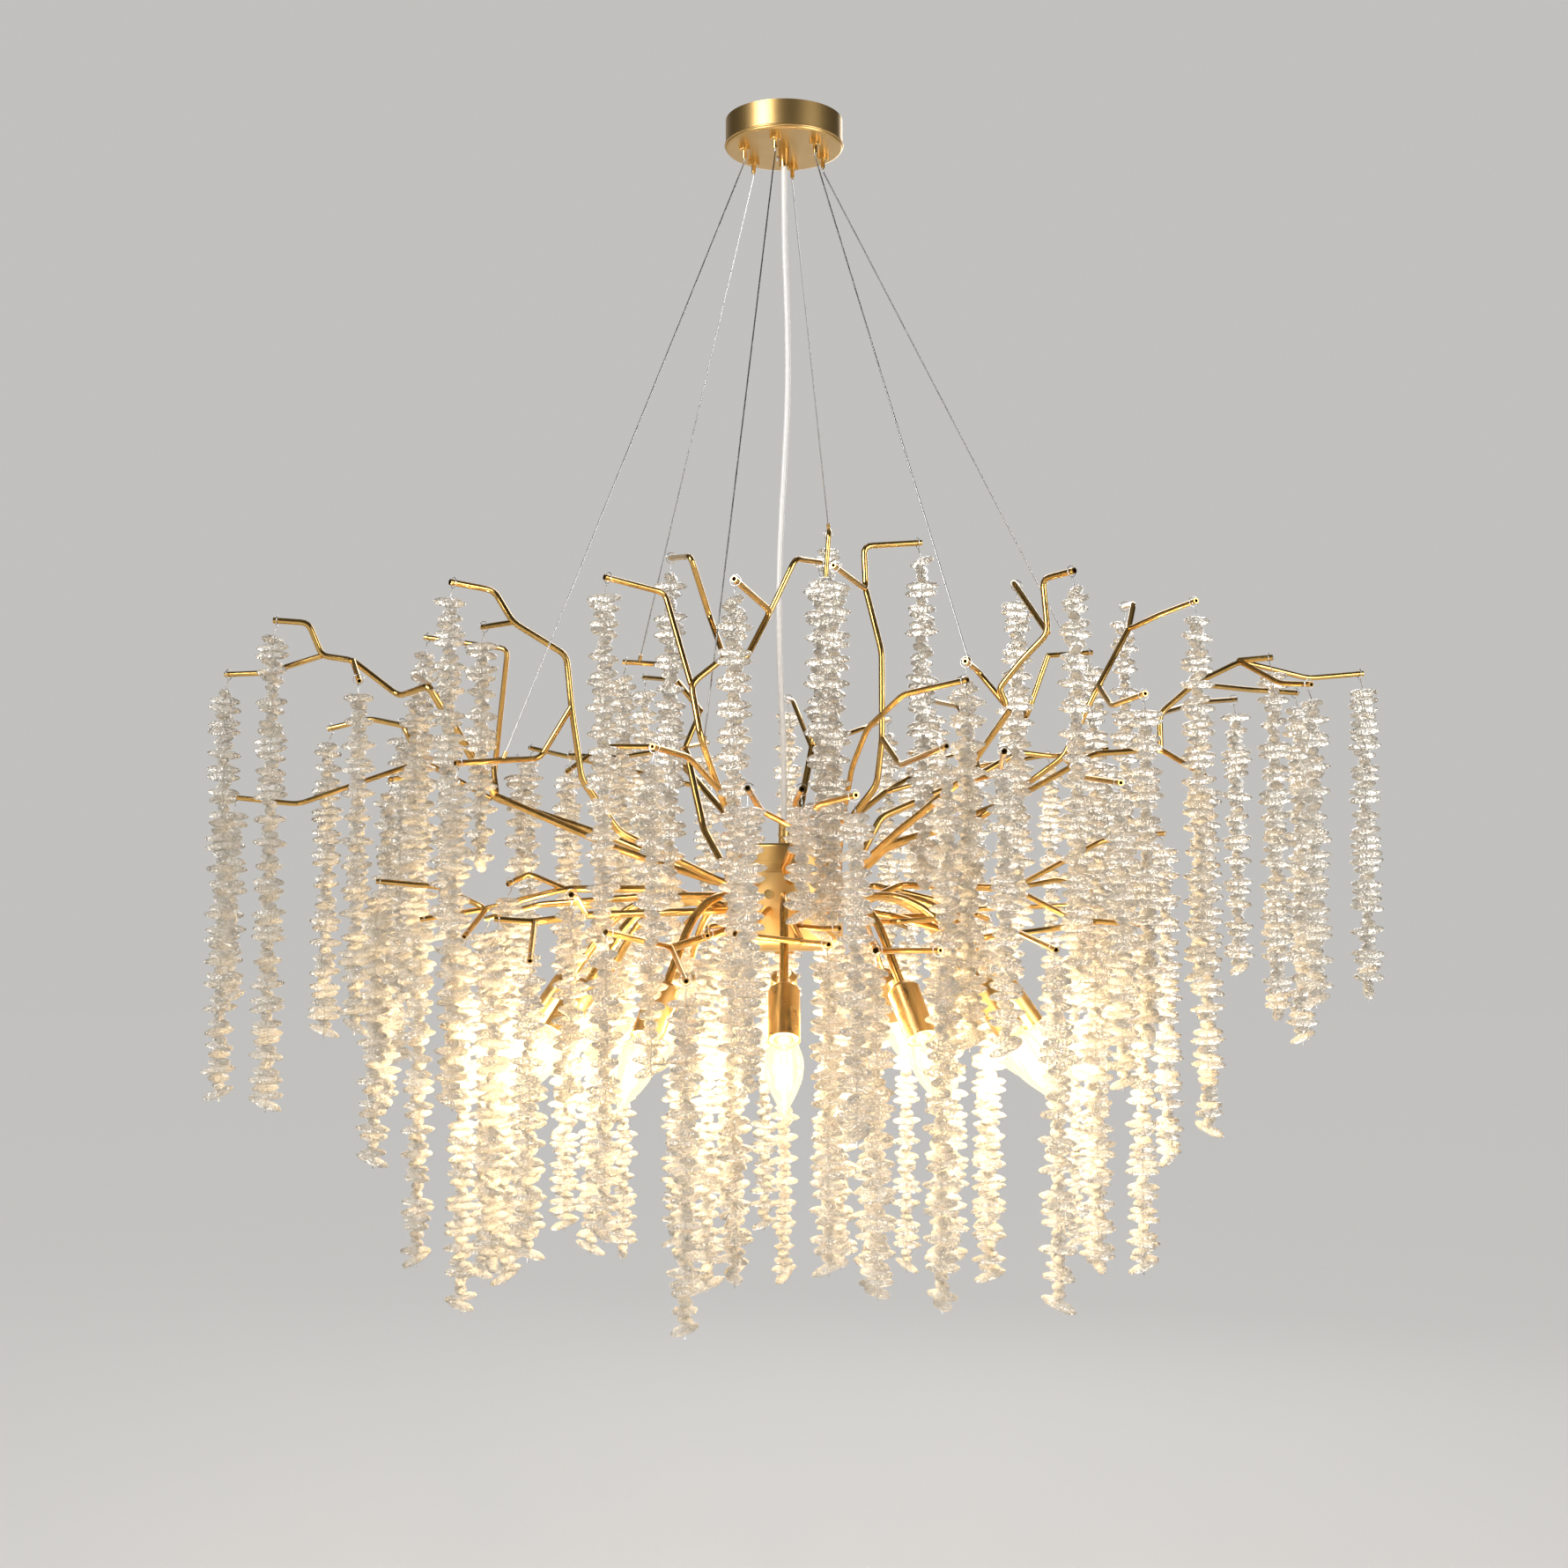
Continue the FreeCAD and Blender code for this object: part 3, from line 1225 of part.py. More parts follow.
# ---------------------------------------------------------------- writing the parts
def export(name, solids):
    """Write one sub-part's solids to its own file."""
    for solid in solids:
        if not solid.isValid():
            print("not valid:", name)
    Part.makeCompound(solids).exportStep("parts/%s.step" % name)
    print("%-24s %3d solids, %9.1f cm3" % (name, len(solids), sum(s.Volume for s in solids) / 1000))


os.makedirs("parts", exist_ok=True)

BRANCH_CORES = {}
for node, branch_names in BRANCH_NODES.items():
    tubes = []
    for branch_name in branch_names:
        branch_tubes, BRANCH_CORES[branch_name] = branch_solids(branch_name)
        tubes += branch_tubes
    export(node, tubes)

for make in (
    ceiling_bracket, canopy_cup, canopy_set_screws, gripper_collars, gripper_nuts, gripper_nipples,
    wire_stops, suspension_wires, wire_feet, cord_grip, cord_grip_nut, cord_grip_screw, power_cable,
    cable_tails, terminal_blocks, canopy_leads, hub_cable_nipple, hub_top_cover, hub_ring, hub_bowl,
    hub_crossbar, hub_screws, hub_rod, hub_rod_nut, lamp_arms, lamp_sleeves, lampholders,
):
    export(make.__name__, make())

for lamp in range(LAMP_COUNT):
    export("bulb_%02d" % (lamp + 1), bulb(lamp))

for node, branch_names in STRAND_NODES.items():
    export(node, strand_group(branch_names))
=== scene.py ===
# %% [markdown]
# # A crystal chandelier, dressed around its CAD solids
#
# The chandelier hangs from a round ceiling canopy on six thin steel wires. A brass hub holds
# kinked brass branches and twelve lamps that point down and outward. From each twig's end hangs
# a strand of long crystals, threaded crosswise on a wire.
#
# The canopy, the hub, the suspension wires and the lamps' arms and sleeves already have their
# right shape in the CAD model, so they stay and get better materials. Four things are made here:
# the branches with softer bends, the strands with separate crystals, the bulbs, and the cable.

# %% Load the frame
import math
import random

import bpy
import numpy as np
from mathutils import Matrix, Vector


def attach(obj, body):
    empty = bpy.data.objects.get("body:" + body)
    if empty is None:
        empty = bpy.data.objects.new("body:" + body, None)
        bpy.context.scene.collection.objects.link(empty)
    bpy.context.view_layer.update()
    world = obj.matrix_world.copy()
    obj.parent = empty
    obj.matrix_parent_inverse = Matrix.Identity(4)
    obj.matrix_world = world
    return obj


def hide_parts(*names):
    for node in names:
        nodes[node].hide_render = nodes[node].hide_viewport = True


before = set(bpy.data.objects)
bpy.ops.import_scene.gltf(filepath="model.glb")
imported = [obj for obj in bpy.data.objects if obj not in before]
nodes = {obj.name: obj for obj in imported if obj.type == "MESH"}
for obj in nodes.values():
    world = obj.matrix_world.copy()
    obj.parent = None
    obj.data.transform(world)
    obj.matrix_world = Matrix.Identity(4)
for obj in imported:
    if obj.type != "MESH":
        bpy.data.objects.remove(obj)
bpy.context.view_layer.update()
MM = 0.001

# %% [markdown]
# ## The camera
#
# The photograph was taken from a little below the middle of the light, looking slightly up, so
# the canopy's floor shows. The distance and the lens come from the canopy: its width against
# the width of the ellipse that its floor makes. Each number is kept under its own name.

# %% Camera
PHOTO_SIZE = 1780
PHOTO_FOCAL = 2300.0
SENSOR_WIDTH = 36.0
CAMERA_DISTANCE = 2.040
CAMERA_HEIGHT = -0.812
CAMERA_PITCH_DEG = 3.6

camera_data = bpy.data.cameras.new("camera")
camera_data.sensor_width = SENSOR_WIDTH
camera_data.lens = SENSOR_WIDTH * PHOTO_FOCAL / PHOTO_SIZE
camera = bpy.data.objects.new("camera", camera_data)
camera.location = (0.0, -CAMERA_DISTANCE, CAMERA_HEIGHT)
camera.rotation_euler = (math.radians(90 + CAMERA_PITCH_DEG), 0.0, 0.0)
bpy.context.scene.collection.objects.link(camera)
bpy.context.scene.camera = camera
print("camera: lens %.1f mm" % camera_data.lens)

# %% [markdown]
# ## Shared helpers
#
# Operators act on whatever is selected, so each step starts with nothing selected. A finished
# object keeps its own transform at the origin and has its place in its mesh.

# %% Selection helpers
def start_clean():
    """Leave edit mode and select nothing."""
    if bpy.context.object and bpy.context.object.mode != "OBJECT":
        bpy.ops.object.mode_set(mode="OBJECT")
    bpy.ops.object.select_all(action="DESELECT")


def select_only(objects):
    """Select these objects and make the first one active."""
    start_clean()
    for obj in objects:
        obj.select_set(True)
    bpy.context.view_layer.objects.active = objects[0]


def select_vertices(obj, wanted):
    """In edit mode, select the vertices whose place passes a test."""
    bpy.ops.mesh.select_all(action="DESELECT")
    bpy.ops.object.mode_set(mode="OBJECT")
    for vertex in obj.data.vertices:
        if wanted(vertex.co):
            vertex.select = True
    bpy.ops.object.mode_set(mode="EDIT")


def finish_piece(obj, name, material, body, slot, smooth_deg=None):
    """Name a piece, give it its material and its smoothing, and say what it rides on."""
    obj.name = name
    obj.data.name = name
    obj.data.materials.clear()
    obj.data.materials.append(material)
    if smooth_deg is not None:
        select_only([obj])
        bpy.ops.object.shade_smooth_by_angle(angle=math.radians(smooth_deg))
    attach(obj, body)


def triangle_count(obj):
    """How many triangles a mesh has."""
    return sum(len(polygon.vertices) - 2 for polygon in obj.data.polygons)


# %% [markdown]
# ## Shader helpers
#
# Every finish here is procedural. Small helpers keep the node code short: one makes a
# Principled material, one adds a node, one makes a node group and one places it.

# %% Node helpers
def new_material(name):
    """An empty Principled material and its shader node."""
    material = bpy.data.materials.new(name)
    material.use_nodes = True
    shader = material.node_tree.nodes["Principled BSDF"]
    return material, shader


def add_node(tree, kind, **settings):
    """Add a node and set its properties, or its inputs where a name has a capital."""
    node = tree.nodes.new(kind)
    for key, value in settings.items():
        if key[0].isupper():
            node.inputs[key.replace("_", " ")].default_value = value
        else:
            setattr(node, key, value)
    return node


def new_group(name, inputs, outputs):
    """A shader node group with float inputs and outputs, and its two end nodes."""
    group = bpy.data.node_groups.new(name, "ShaderNodeTree")
    for label, value in inputs.items():
        socket = group.interface.new_socket(label, in_out="INPUT", socket_type="NodeSocketFloat")
        socket.default_value = value
    for label in outputs:
        group.interface.new_socket(label, in_out="OUTPUT", socket_type="NodeSocketFloat")
    return group, group.nodes.new("NodeGroupInput"), group.nodes.new("NodeGroupOutput")


def use_group(tree, group, **values):
    """Place a node group in a material with its own values."""
    node = tree.nodes.new("ShaderNodeGroup")
    node.node_tree = group
    for key, value in values.items():
        node.inputs[key.replace("_", " ")].default_value = value
    return node


# %% [markdown]
# ### Handling marks
#
# Metal that has been polished, lacquered and handled isn't even: it has cloudy patches where
# the lacquer is thicker, and fine pores. One node group makes both from noise at two scales.
# Every material places it with its own sizes, because plastic and glass aren't even either.

# %% Node group: handling marks
marks_group, marks_in, marks_out = new_group(
    "handling marks", {"Cloud Scale": 40.0, "Pore Scale": 900.0}, ["Cloud", "Pore"]
)
coords = add_node(marks_group, "ShaderNodeTexCoord")
cloud = add_node(marks_group, "ShaderNodeTexNoise", Detail=3.0)
pore = add_node(marks_group, "ShaderNodeTexNoise", Detail=2.0)
for noise, scale, output in ((cloud, "Cloud Scale", "Cloud"), (pore, "Pore Scale", "Pore")):
    marks_group.links.new(coords.outputs["Object"], noise.inputs["Vector"])
    marks_group.links.new(marks_in.outputs[scale], noise.inputs["Scale"])
    marks_group.links.new(noise.outputs["Fac"], marks_out.inputs[output])
print("group:", marks_group.name)

# %% [markdown]
# ### Spun lines
#
# The canopy, the hub and the lamp sleeves were spun or turned, then brushed while they turned,
# so their fine lines run round the axis. Noise that reads only the distance from the axis and
# the height gives such rings. The lamp sleeves lean, so they get the cloudy patches instead.

# %% Node group: spun lines
spun_group, spun_in, spun_out = new_group("spun lines", {"Line Scale": 1400.0}, ["Lines"])
spun_coords = add_node(spun_group, "ShaderNodeTexCoord")
spun_split = add_node(spun_group, "ShaderNodeSeparateXYZ")
spun_flat = add_node(spun_group, "ShaderNodeCombineXYZ")
spun_radius = add_node(spun_group, "ShaderNodeVectorMath", operation="LENGTH")
spun_join = add_node(spun_group, "ShaderNodeCombineXYZ")
spun_noise = add_node(spun_group, "ShaderNodeTexNoise", noise_dimensions="2D", Detail=2.0)
links = spun_group.links
links.new(spun_coords.outputs["Object"], spun_split.inputs[0])
links.new(spun_split.outputs["X"], spun_flat.inputs["X"])
links.new(spun_split.outputs["Y"], spun_flat.inputs["Y"])
links.new(spun_flat.outputs[0], spun_radius.inputs[0])
links.new(spun_radius.outputs["Value"], spun_join.inputs["X"])
links.new(spun_split.outputs["Z"], spun_join.inputs["Y"])
links.new(spun_join.outputs[0], spun_noise.inputs["Vector"])
links.new(spun_in.outputs["Line Scale"], spun_noise.inputs["Scale"])
links.new(spun_noise.outputs["Fac"], spun_out.inputs["Lines"])
print("group:", spun_group.name)

# %% [markdown]
# ### Metals
#
# The brass is a warm satin gold. Its colour drifts a little between two golds with the cloudy
# patches, its roughness follows them too, and a shallow bump comes from the pores or the spun
# lines. The steel of the wires and screws is the same recipe in grey.

# %% Metals
CLOUD_RANGE = (0.3, 0.7)
METAL_BUMP = 0.5


def make_metal(name, dark, light, rough_from, rough_to, bump_mm, spun=False, cloud_scale=40.0):
    """A metal whose colour, roughness and bump vary over the surface."""
    material, shader = new_material(name)
    tree = material.node_tree
    shader.inputs["Metallic"].default_value = 1.0
    marks = use_group(tree, marks_group, Cloud_Scale=cloud_scale)
    tint = add_node(tree, "ShaderNodeMix", data_type="RGBA")
    tint.inputs["A"].default_value = (*dark, 1.0)
    tint.inputs["B"].default_value = (*light, 1.0)
    tree.links.new(marks.outputs["Cloud"], tint.inputs["Factor"])
    tree.links.new(tint.outputs["Result"], shader.inputs["Base Color"])
    rough = add_node(tree, "ShaderNodeMapRange", From_Min=CLOUD_RANGE[0], From_Max=CLOUD_RANGE[1],
                     To_Min=rough_from, To_Max=rough_to)
    bump = add_node(tree, "ShaderNodeBump", Strength=METAL_BUMP)
    bump.inputs["Distance"].default_value = bump_mm * MM
    if spun:
        lines = use_group(tree, spun_group)
        tree.links.new(lines.outputs["Lines"], rough.inputs["Value"])
        tree.links.new(lines.outputs["Lines"], bump.inputs["Height"])
    else:
        tree.links.new(marks.outputs["Cloud"], rough.inputs["Value"])
        tree.links.new(marks.outputs["Pore"], bump.inputs["Height"])
    tree.links.new(rough.outputs["Result"], shader.inputs["Roughness"])
    tree.links.new(bump.outputs["Normal"], shader.inputs["Normal"])
    return material


branch_brass = make_metal("branch_brass", (0.64, 0.38, 0.10), (0.86, 0.56, 0.20), 0.13, 0.26, 0.02)
spun_brass = make_metal("spun_brass", (0.58, 0.37, 0.13), (0.72, 0.48, 0.20), 0.28, 0.42, 0.03, True)
# A darker copy of the spun brass for the hub's top cover: painted shade, not a darker metal.
cover_brass = make_metal("cover_brass", (0.40, 0.24, 0.08), (0.52, 0.33, 0.12), 0.26, 0.40, 0.03, True)
sleeve_brass = make_metal("sleeve_brass", (0.60, 0.39, 0.15), (0.74, 0.50, 0.21), 0.24, 0.36, 0.03)
bright_brass = make_metal("bright_brass", (0.74, 0.48, 0.16), (0.88, 0.61, 0.25), 0.12, 0.22, 0.01)
wire_steel = make_metal("wire_steel", (0.42, 0.42, 0.42), (0.62, 0.62, 0.61), 0.22, 0.35, 0.02,
                        cloud_scale=90.0)
plated_steel = make_metal("plated_steel", (0.58, 0.59, 0.60), (0.72, 0.72, 0.72), 0.22, 0.38, 0.02)
eye_wire = make_metal("eye_wire", (0.62, 0.62, 0.62), (0.80, 0.80, 0.79), 0.15, 0.28, 0.01)
print("metals ready")

# %% [markdown]
# ### Plastics
#
# The lampholders and terminal blocks are moulded: matt, slightly mottled, with a fine pebbled
# bump. The cable has a smooth clear sheath that looks pale because of the cores inside, so its
# colour changes a little as the cores twist.

# %% Plastics
PLASTIC_PORES = 1600.0
PLASTIC_BUMP = 0.4
ROUGHNESS_DRIFT = 0.08


def make_plastic(name, dark, light, roughness, bump_mm, cloud_scale=60.0):
    """A moulded plastic with faint mottling and a pebbled bump."""
    material, shader = new_material(name)
    tree = material.node_tree
    marks = use_group(tree, marks_group, Cloud_Scale=cloud_scale, Pore_Scale=PLASTIC_PORES)
    tint = add_node(tree, "ShaderNodeMix", data_type="RGBA")
    tint.inputs["A"].default_value = (*dark, 1.0)
    tint.inputs["B"].default_value = (*light, 1.0)
    bump = add_node(tree, "ShaderNodeBump", Strength=PLASTIC_BUMP)
    bump.inputs["Distance"].default_value = bump_mm * MM
    rough = add_node(tree, "ShaderNodeMapRange", To_Min=roughness - ROUGHNESS_DRIFT,
                     To_Max=roughness + ROUGHNESS_DRIFT)
    tree.links.new(marks.outputs["Cloud"], tint.inputs["Factor"])
    tree.links.new(tint.outputs["Result"], shader.inputs["Base Color"])
    tree.links.new(marks.outputs["Pore"], bump.inputs["Height"])
    tree.links.new(marks.outputs["Cloud"], rough.inputs["Value"])
    tree.links.new(rough.outputs["Result"], shader.inputs["Roughness"])
    tree.links.new(bump.outputs["Normal"], shader.inputs["Normal"])
    return material


holder_plastic = make_plastic("holder_plastic", (0.72, 0.68, 0.60), (0.80, 0.77, 0.70), 0.45, 0.03)
terminal_plastic = make_plastic("terminal_plastic", (0.80, 0.79, 0.75), (0.86, 0.85, 0.82), 0.4, 0.02)
core_plastic = make_plastic("core_plastic", (0.45, 0.30, 0.18), (0.52, 0.36, 0.22), 0.4, 0.01)
cable_sheath = make_plastic("cable_sheath", (0.84, 0.82, 0.79), (0.94, 0.93, 0.91), 0.25, 0.05, 220.0)
print("plastics ready")

# %% [markdown]
# ### Glass
#
# The crystals are clear pressed glass with a warm tint. Each has so many facets, and so many
# hang behind one another, that they look milky: a quarter of the light is scattered instead of
# let through. Small cells of a Voronoi texture tilt the normal, and break the reflections into
# glints the way pressed facets do.
#
# The bulbs are thin blown glass with a faint ripple. Their glass lets the light of the lamp
# inside through without bending it, so for shadow rays the Light Path node swaps the glass for a
# clear surface. The glass glows weakly too, as the light that it scatters would make it.

# %% Glass and glow
BULB_HAZE = 0.30
BULB_HAZE_COLOR = (1.0, 0.74, 0.40)
GLASS_ROUGHNESS = 0.03
RIPPLE_STRENGTH = 0.3
CELL_SCALE = 300.0
CELL_STRENGTH = 1.0
GLOW_CLOUDS = 300.0


def make_glass(name, thin, thick, ior, clear_share, bump_mm, cloud_scale, cells=False):
    """Clear glass with a drifting tint, and either a rippled surface or small facets."""
    material, shader = new_material(name)
    tree = material.node_tree
    shader.inputs["Metallic"].default_value = 0.0
    shader.inputs["Transmission Weight"].default_value = clear_share
    shader.inputs["Roughness"].default_value = GLASS_ROUGHNESS
    shader.inputs["IOR"].default_value = ior
    marks = use_group(tree, marks_group, Cloud_Scale=cloud_scale)
    tint = add_node(tree, "ShaderNodeMix", data_type="RGBA")
    tint.inputs["A"].default_value = (*thin, 1.0)
    tint.inputs["B"].default_value = (*thick, 1.0)
    bump = add_node(tree, "ShaderNodeBump", Strength=CELL_STRENGTH if cells else RIPPLE_STRENGTH)
    bump.inputs["Distance"].default_value = bump_mm * MM
    height = marks.outputs["Cloud"]
    if cells:
        place = add_node(tree, "ShaderNodeTexCoord")
        facets = add_node(tree, "ShaderNodeTexVoronoi", Scale=CELL_SCALE)
        tree.links.new(place.outputs["Object"], facets.inputs["Vector"])
        height = facets.outputs["Distance"]
    tree.links.new(marks.outputs["Cloud"], tint.inputs["Factor"])
    tree.links.new(height, bump.inputs["Height"])
    tree.links.new(tint.outputs["Result"], shader.inputs["Base Color"])
    tree.links.new(bump.outputs["Normal"], shader.inputs["Normal"])
    return material


def let_light_through(material):
    """Make a glass material clear to shadow rays, so that a lamp inside it lights the scene."""
    tree = material.node_tree
    light_path = tree.nodes.new("ShaderNodeLightPath")
    clear = tree.nodes.new("ShaderNodeBsdfTransparent")
    switch = tree.nodes.new("ShaderNodeMixShader")
    tree.links.new(light_path.outputs["Is Shadow Ray"], switch.inputs["Fac"])
    tree.links.new(tree.nodes["Principled BSDF"].outputs["BSDF"], switch.inputs[1])
    tree.links.new(clear.outputs["BSDF"], switch.inputs[2])
    tree.links.new(switch.outputs["Shader"], tree.nodes["Material Output"].inputs["Surface"])


def make_glow(name, cool, hot, strength):
    """A glowing filament, hotter in some places than in others."""
    material, shader = new_material(name)
    tree = material.node_tree
    marks = use_group(tree, marks_group, Cloud_Scale=GLOW_CLOUDS)
    tint = add_node(tree, "ShaderNodeMix", data_type="RGBA")
    tint.inputs["A"].default_value = (*cool, 1.0)
    tint.inputs["B"].default_value = (*hot, 1.0)
    tree.links.new(marks.outputs["Cloud"], tint.inputs["Factor"])
    tree.links.new(tint.outputs["Result"], shader.inputs["Base Color"])
    tree.links.new(tint.outputs["Result"], shader.inputs["Emission Color"])
    shader.inputs["Emission Strength"].default_value = strength
    return material


crystal_glass = make_glass("crystal_glass", (1.0, 0.975, 0.915), (0.99, 0.92, 0.80), ior=1.55,
                           clear_share=0.76, bump_mm=1.0, cloud_scale=160.0, cells=True)
bulb_glass = make_glass("bulb_glass", (1.0, 0.96, 0.86), (0.98, 0.90, 0.72), ior=1.45,
                        clear_share=1.0, bump_mm=0.1, cloud_scale=60.0)
bulb_shader = bulb_glass.node_tree.nodes["Principled BSDF"]
bulb_shader.inputs["Emission Color"].default_value = (*BULB_HAZE_COLOR, 1.0)
bulb_shader.inputs["Emission Strength"].default_value = BULB_HAZE
let_light_through(bulb_glass)
filament_glow = make_glow("filament_glow", (1.0, 0.72, 0.38), (1.0, 0.86, 0.60), strength=60.0)
print("glass ready")

# %% [markdown]
# ## The power cable
#
# One pale cable leaves the brass grip under the canopy and hangs to the nipple on top of the
# hub. It is slightly too long for the gap, so it hangs in a shallow S. It is a NURBS curve on
# the same points as its CAD tube, with a round bevel.

# %% Power cable
CABLE_RADIUS = 3.0 * MM
CABLE_ROUNDNESS = 6
CABLE_STEPS = 16
NURBS_ORDER = 3
CABLE_POINTS_MM = [
    (0.0, -48.0), (0.0, -123.0), (3.2, -198.0), (4.2, -273.0), (1.0, -348.0),
    (-3.4, -423.0), (-5.6, -498.0), (-4.0, -573.0), (0.0, -648.0), (0.0, -723.0),
]
cable_curve = bpy.data.curves.new("power_cable_sheath", "CURVE")
cable_curve.dimensions = "3D"
cable_curve.bevel_depth = CABLE_RADIUS
cable_curve.bevel_resolution = CABLE_ROUNDNESS
cable_curve.resolution_u = CABLE_STEPS
spline = cable_curve.splines.new("NURBS")
spline.points.add(len(CABLE_POINTS_MM) - 1)
for point, (x, z) in zip(spline.points, CABLE_POINTS_MM):
    point.co = (x * MM, 0.0, z * MM, 1.0)
spline.order_u = NURBS_ORDER
spline.use_endpoint_u = True
cable = bpy.data.objects.new("power_cable_sheath", cable_curve)
bpy.context.scene.collection.objects.link(cable)
cable_curve.materials.append(cable_sheath)
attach(cable, "root")
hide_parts("power_cable")
print("power cable:", len(CABLE_POINTS_MM), "points")

# %% [markdown]
# ## The branches
#
# The real branches are thin brass tubes, bent by hand so that they kink softly like twigs. The
# CAD solids are straight stretches with mitred corners, which look too crisp. So each tube's
# corners are measured on the CAD mesh, and a NURBS curve with a round bevel follows them.
#
# A straight stretch's side has long edges from one end ring to the other. Short edges gather
# vertices into rings, and long edges say which rings are the two ends of one stretch.

# %% Measure the tubes
PLACE_DIGITS = 5
RING_EDGE = 6.5 * MM
SAME_CORNER = 0.6 * MM


def gather(count, pairs):
    """A group number for each of count items, where paired items share a group."""
    leader = list(range(count))

    def find(item):
        while leader[item] != item:
            leader[item] = leader[leader[item]]
            item = leader[item]
        return item

    for a, b in pairs:
        leader[find(a)] = find(b)
    return [find(item) for item in range(count)]


def tube_paths(mesh):
    """The tubes of a branch node: the corners of each and the radius of each stretch."""
    places, index_of, edges = [], {}, set()
    corner_ids = []
    for vertex in mesh.vertices:
        key = tuple(round(value, PLACE_DIGITS) for value in vertex.co)
        if key not in index_of:
            index_of[key] = len(places)
            places.append(Vector(key))
        corner_ids.append(index_of[key])
    for edge in mesh.edges:
        a, b = (corner_ids[i] for i in edge.vertices)
        edges.add((min(a, b), max(a, b)))
    lengths = {edge: (places[edge[0]] - places[edge[1]]).length for edge in edges}
    ring_of = gather(len(places), [edge for edge in edges if lengths[edge] < RING_EDGE])
    rings = {}
    for i, ring in enumerate(ring_of):
        rings.setdefault(ring, []).append(places[i])
    names = list(rings)
    centres = [sum(rings[name], Vector()) / len(rings[name]) for name in names]
    close = [
        (i, j) for i in range(len(names)) for j in range(i)
        if (centres[i] - centres[j]).length < SAME_CORNER
    ]
    corner_of = dict(zip(names, gather(len(names), close)))
    centre_of = dict(zip(names, centres))
    neighbours, radii = {}, {}
    for a, b in edges:
        for start, end in ((a, b), (b, a)):
            here, there = corner_of[ring_of[start]], corner_of[ring_of[end]]
            if here == there:
                continue
            middle = centre_of[ring_of[start]]
            along = (centre_of[ring_of[end]] - middle).normalized()
            radius = max((p - middle).cross(along).length for p in rings[ring_of[start]])
            pair = (min(here, there), max(here, there))
            radii[pair] = min(radius, radii.get(pair, radius))
            neighbours.setdefault(here, set()).add(there)
    return walk_paths(neighbours, centres, radii)


# %% [markdown]
# Each tube is then followed from its open end, straight on where tubes meet. A twig's cut end
# stops at the surface of the tube that it is brazed to, so its path is run on to the nearest
# corner of that tube.

# %% Follow the tubes
FORK_REACH = 16.0 * MM
FORK_OFFSET = 2.2 * MM


def walk_paths(neighbours, centres, radii):
    """Follow the stretches along every tube, straight on where tubes meet."""
    left = {corner: set(others) for corner, others in neighbours.items()}
    ends = [corner for corner in sorted(neighbours) if len(neighbours[corner]) == 1]
    paths = []
    for start in ends + sorted(neighbours):
        while left[start]:
            path, thickness = [start], []
            while left[path[-1]]:
                here = path[-1]
                along = centres[here] - centres[path[-2]] if len(path) > 1 else Vector()
                ahead = max(
                    sorted(left[here]),
                    key=lambda other: along.dot((centres[other] - centres[here]).normalized()),
                )
                left[here].discard(ahead)
                left[ahead].discard(here)
                thickness.append(radii[(min(here, ahead), max(here, ahead))])
                path.append(ahead)
            paths.append(([centres[corner] for corner in path], thickness))
    return join_forks(paths)


def join_forks(paths):
    """Run each twig's cut end on to the knee that it is brazed to, and count those ends."""
    corners = [corner for path, _ in paths for corner in path]
    joined = 0
    for path, _ in paths:
        for end, inner in ((0, 1), (-1, -2)):
            along = (path[end] - path[inner]).normalized()
            knees = [
                corner for corner in corners
                if 0 < (corner - path[end]).dot(along) < FORK_REACH
                and (corner - path[end]).cross(along).length < FORK_OFFSET
            ]
            if knees:
                path[end] = min(knees, key=lambda corner: (corner - path[end]).length)
                joined += 1
    return paths, joined


branch_nodes = ["branches_left", "branches_right", "branches_low"]
tubes = {name: tube_paths(nodes[name].data) for name in branch_nodes}
for name, (paths, joined) in tubes.items():
    print(name, len(paths), "tubes", sum(len(path) - 1 for path, _ in paths), "stretches",
          joined, "joined at forks")

# %% [markdown]
# Now the paths become tubes. Two more points close to each corner keep the curve straight between
# the bends and make the bend itself tight. The curve becomes a mesh, and Solidify gives the open
# ends their wall.

# %% Bend the tubes
METAL_SMOOTH_DEG = 40
BEND_REACH = 16.0 * MM
BEND_SHARE = 0.4
TUBE_WALL = 0.9 * MM
TUBE_ROUNDNESS = 3
TUBE_STEPS = 3


def soft_points(path, thickness):
    """Control points and radii of a tube: its ends, and three points at each corner."""
    points = [(path[0], thickness[0])]
    for i in range(1, len(path) - 1):
        reaches = []
        for side in (path[i - 1], path[i + 1]):
            run = side - path[i]
            reaches.append(path[i] + run.normalized() * min(BEND_REACH, BEND_SHARE * run.length))
        points.append((reaches[0], thickness[i - 1]))
        points.append((path[i], (thickness[i - 1] + thickness[i]) / 2))
        points.append((reaches[1], thickness[i]))
    points.append((path[-1], thickness[-1]))
    return points


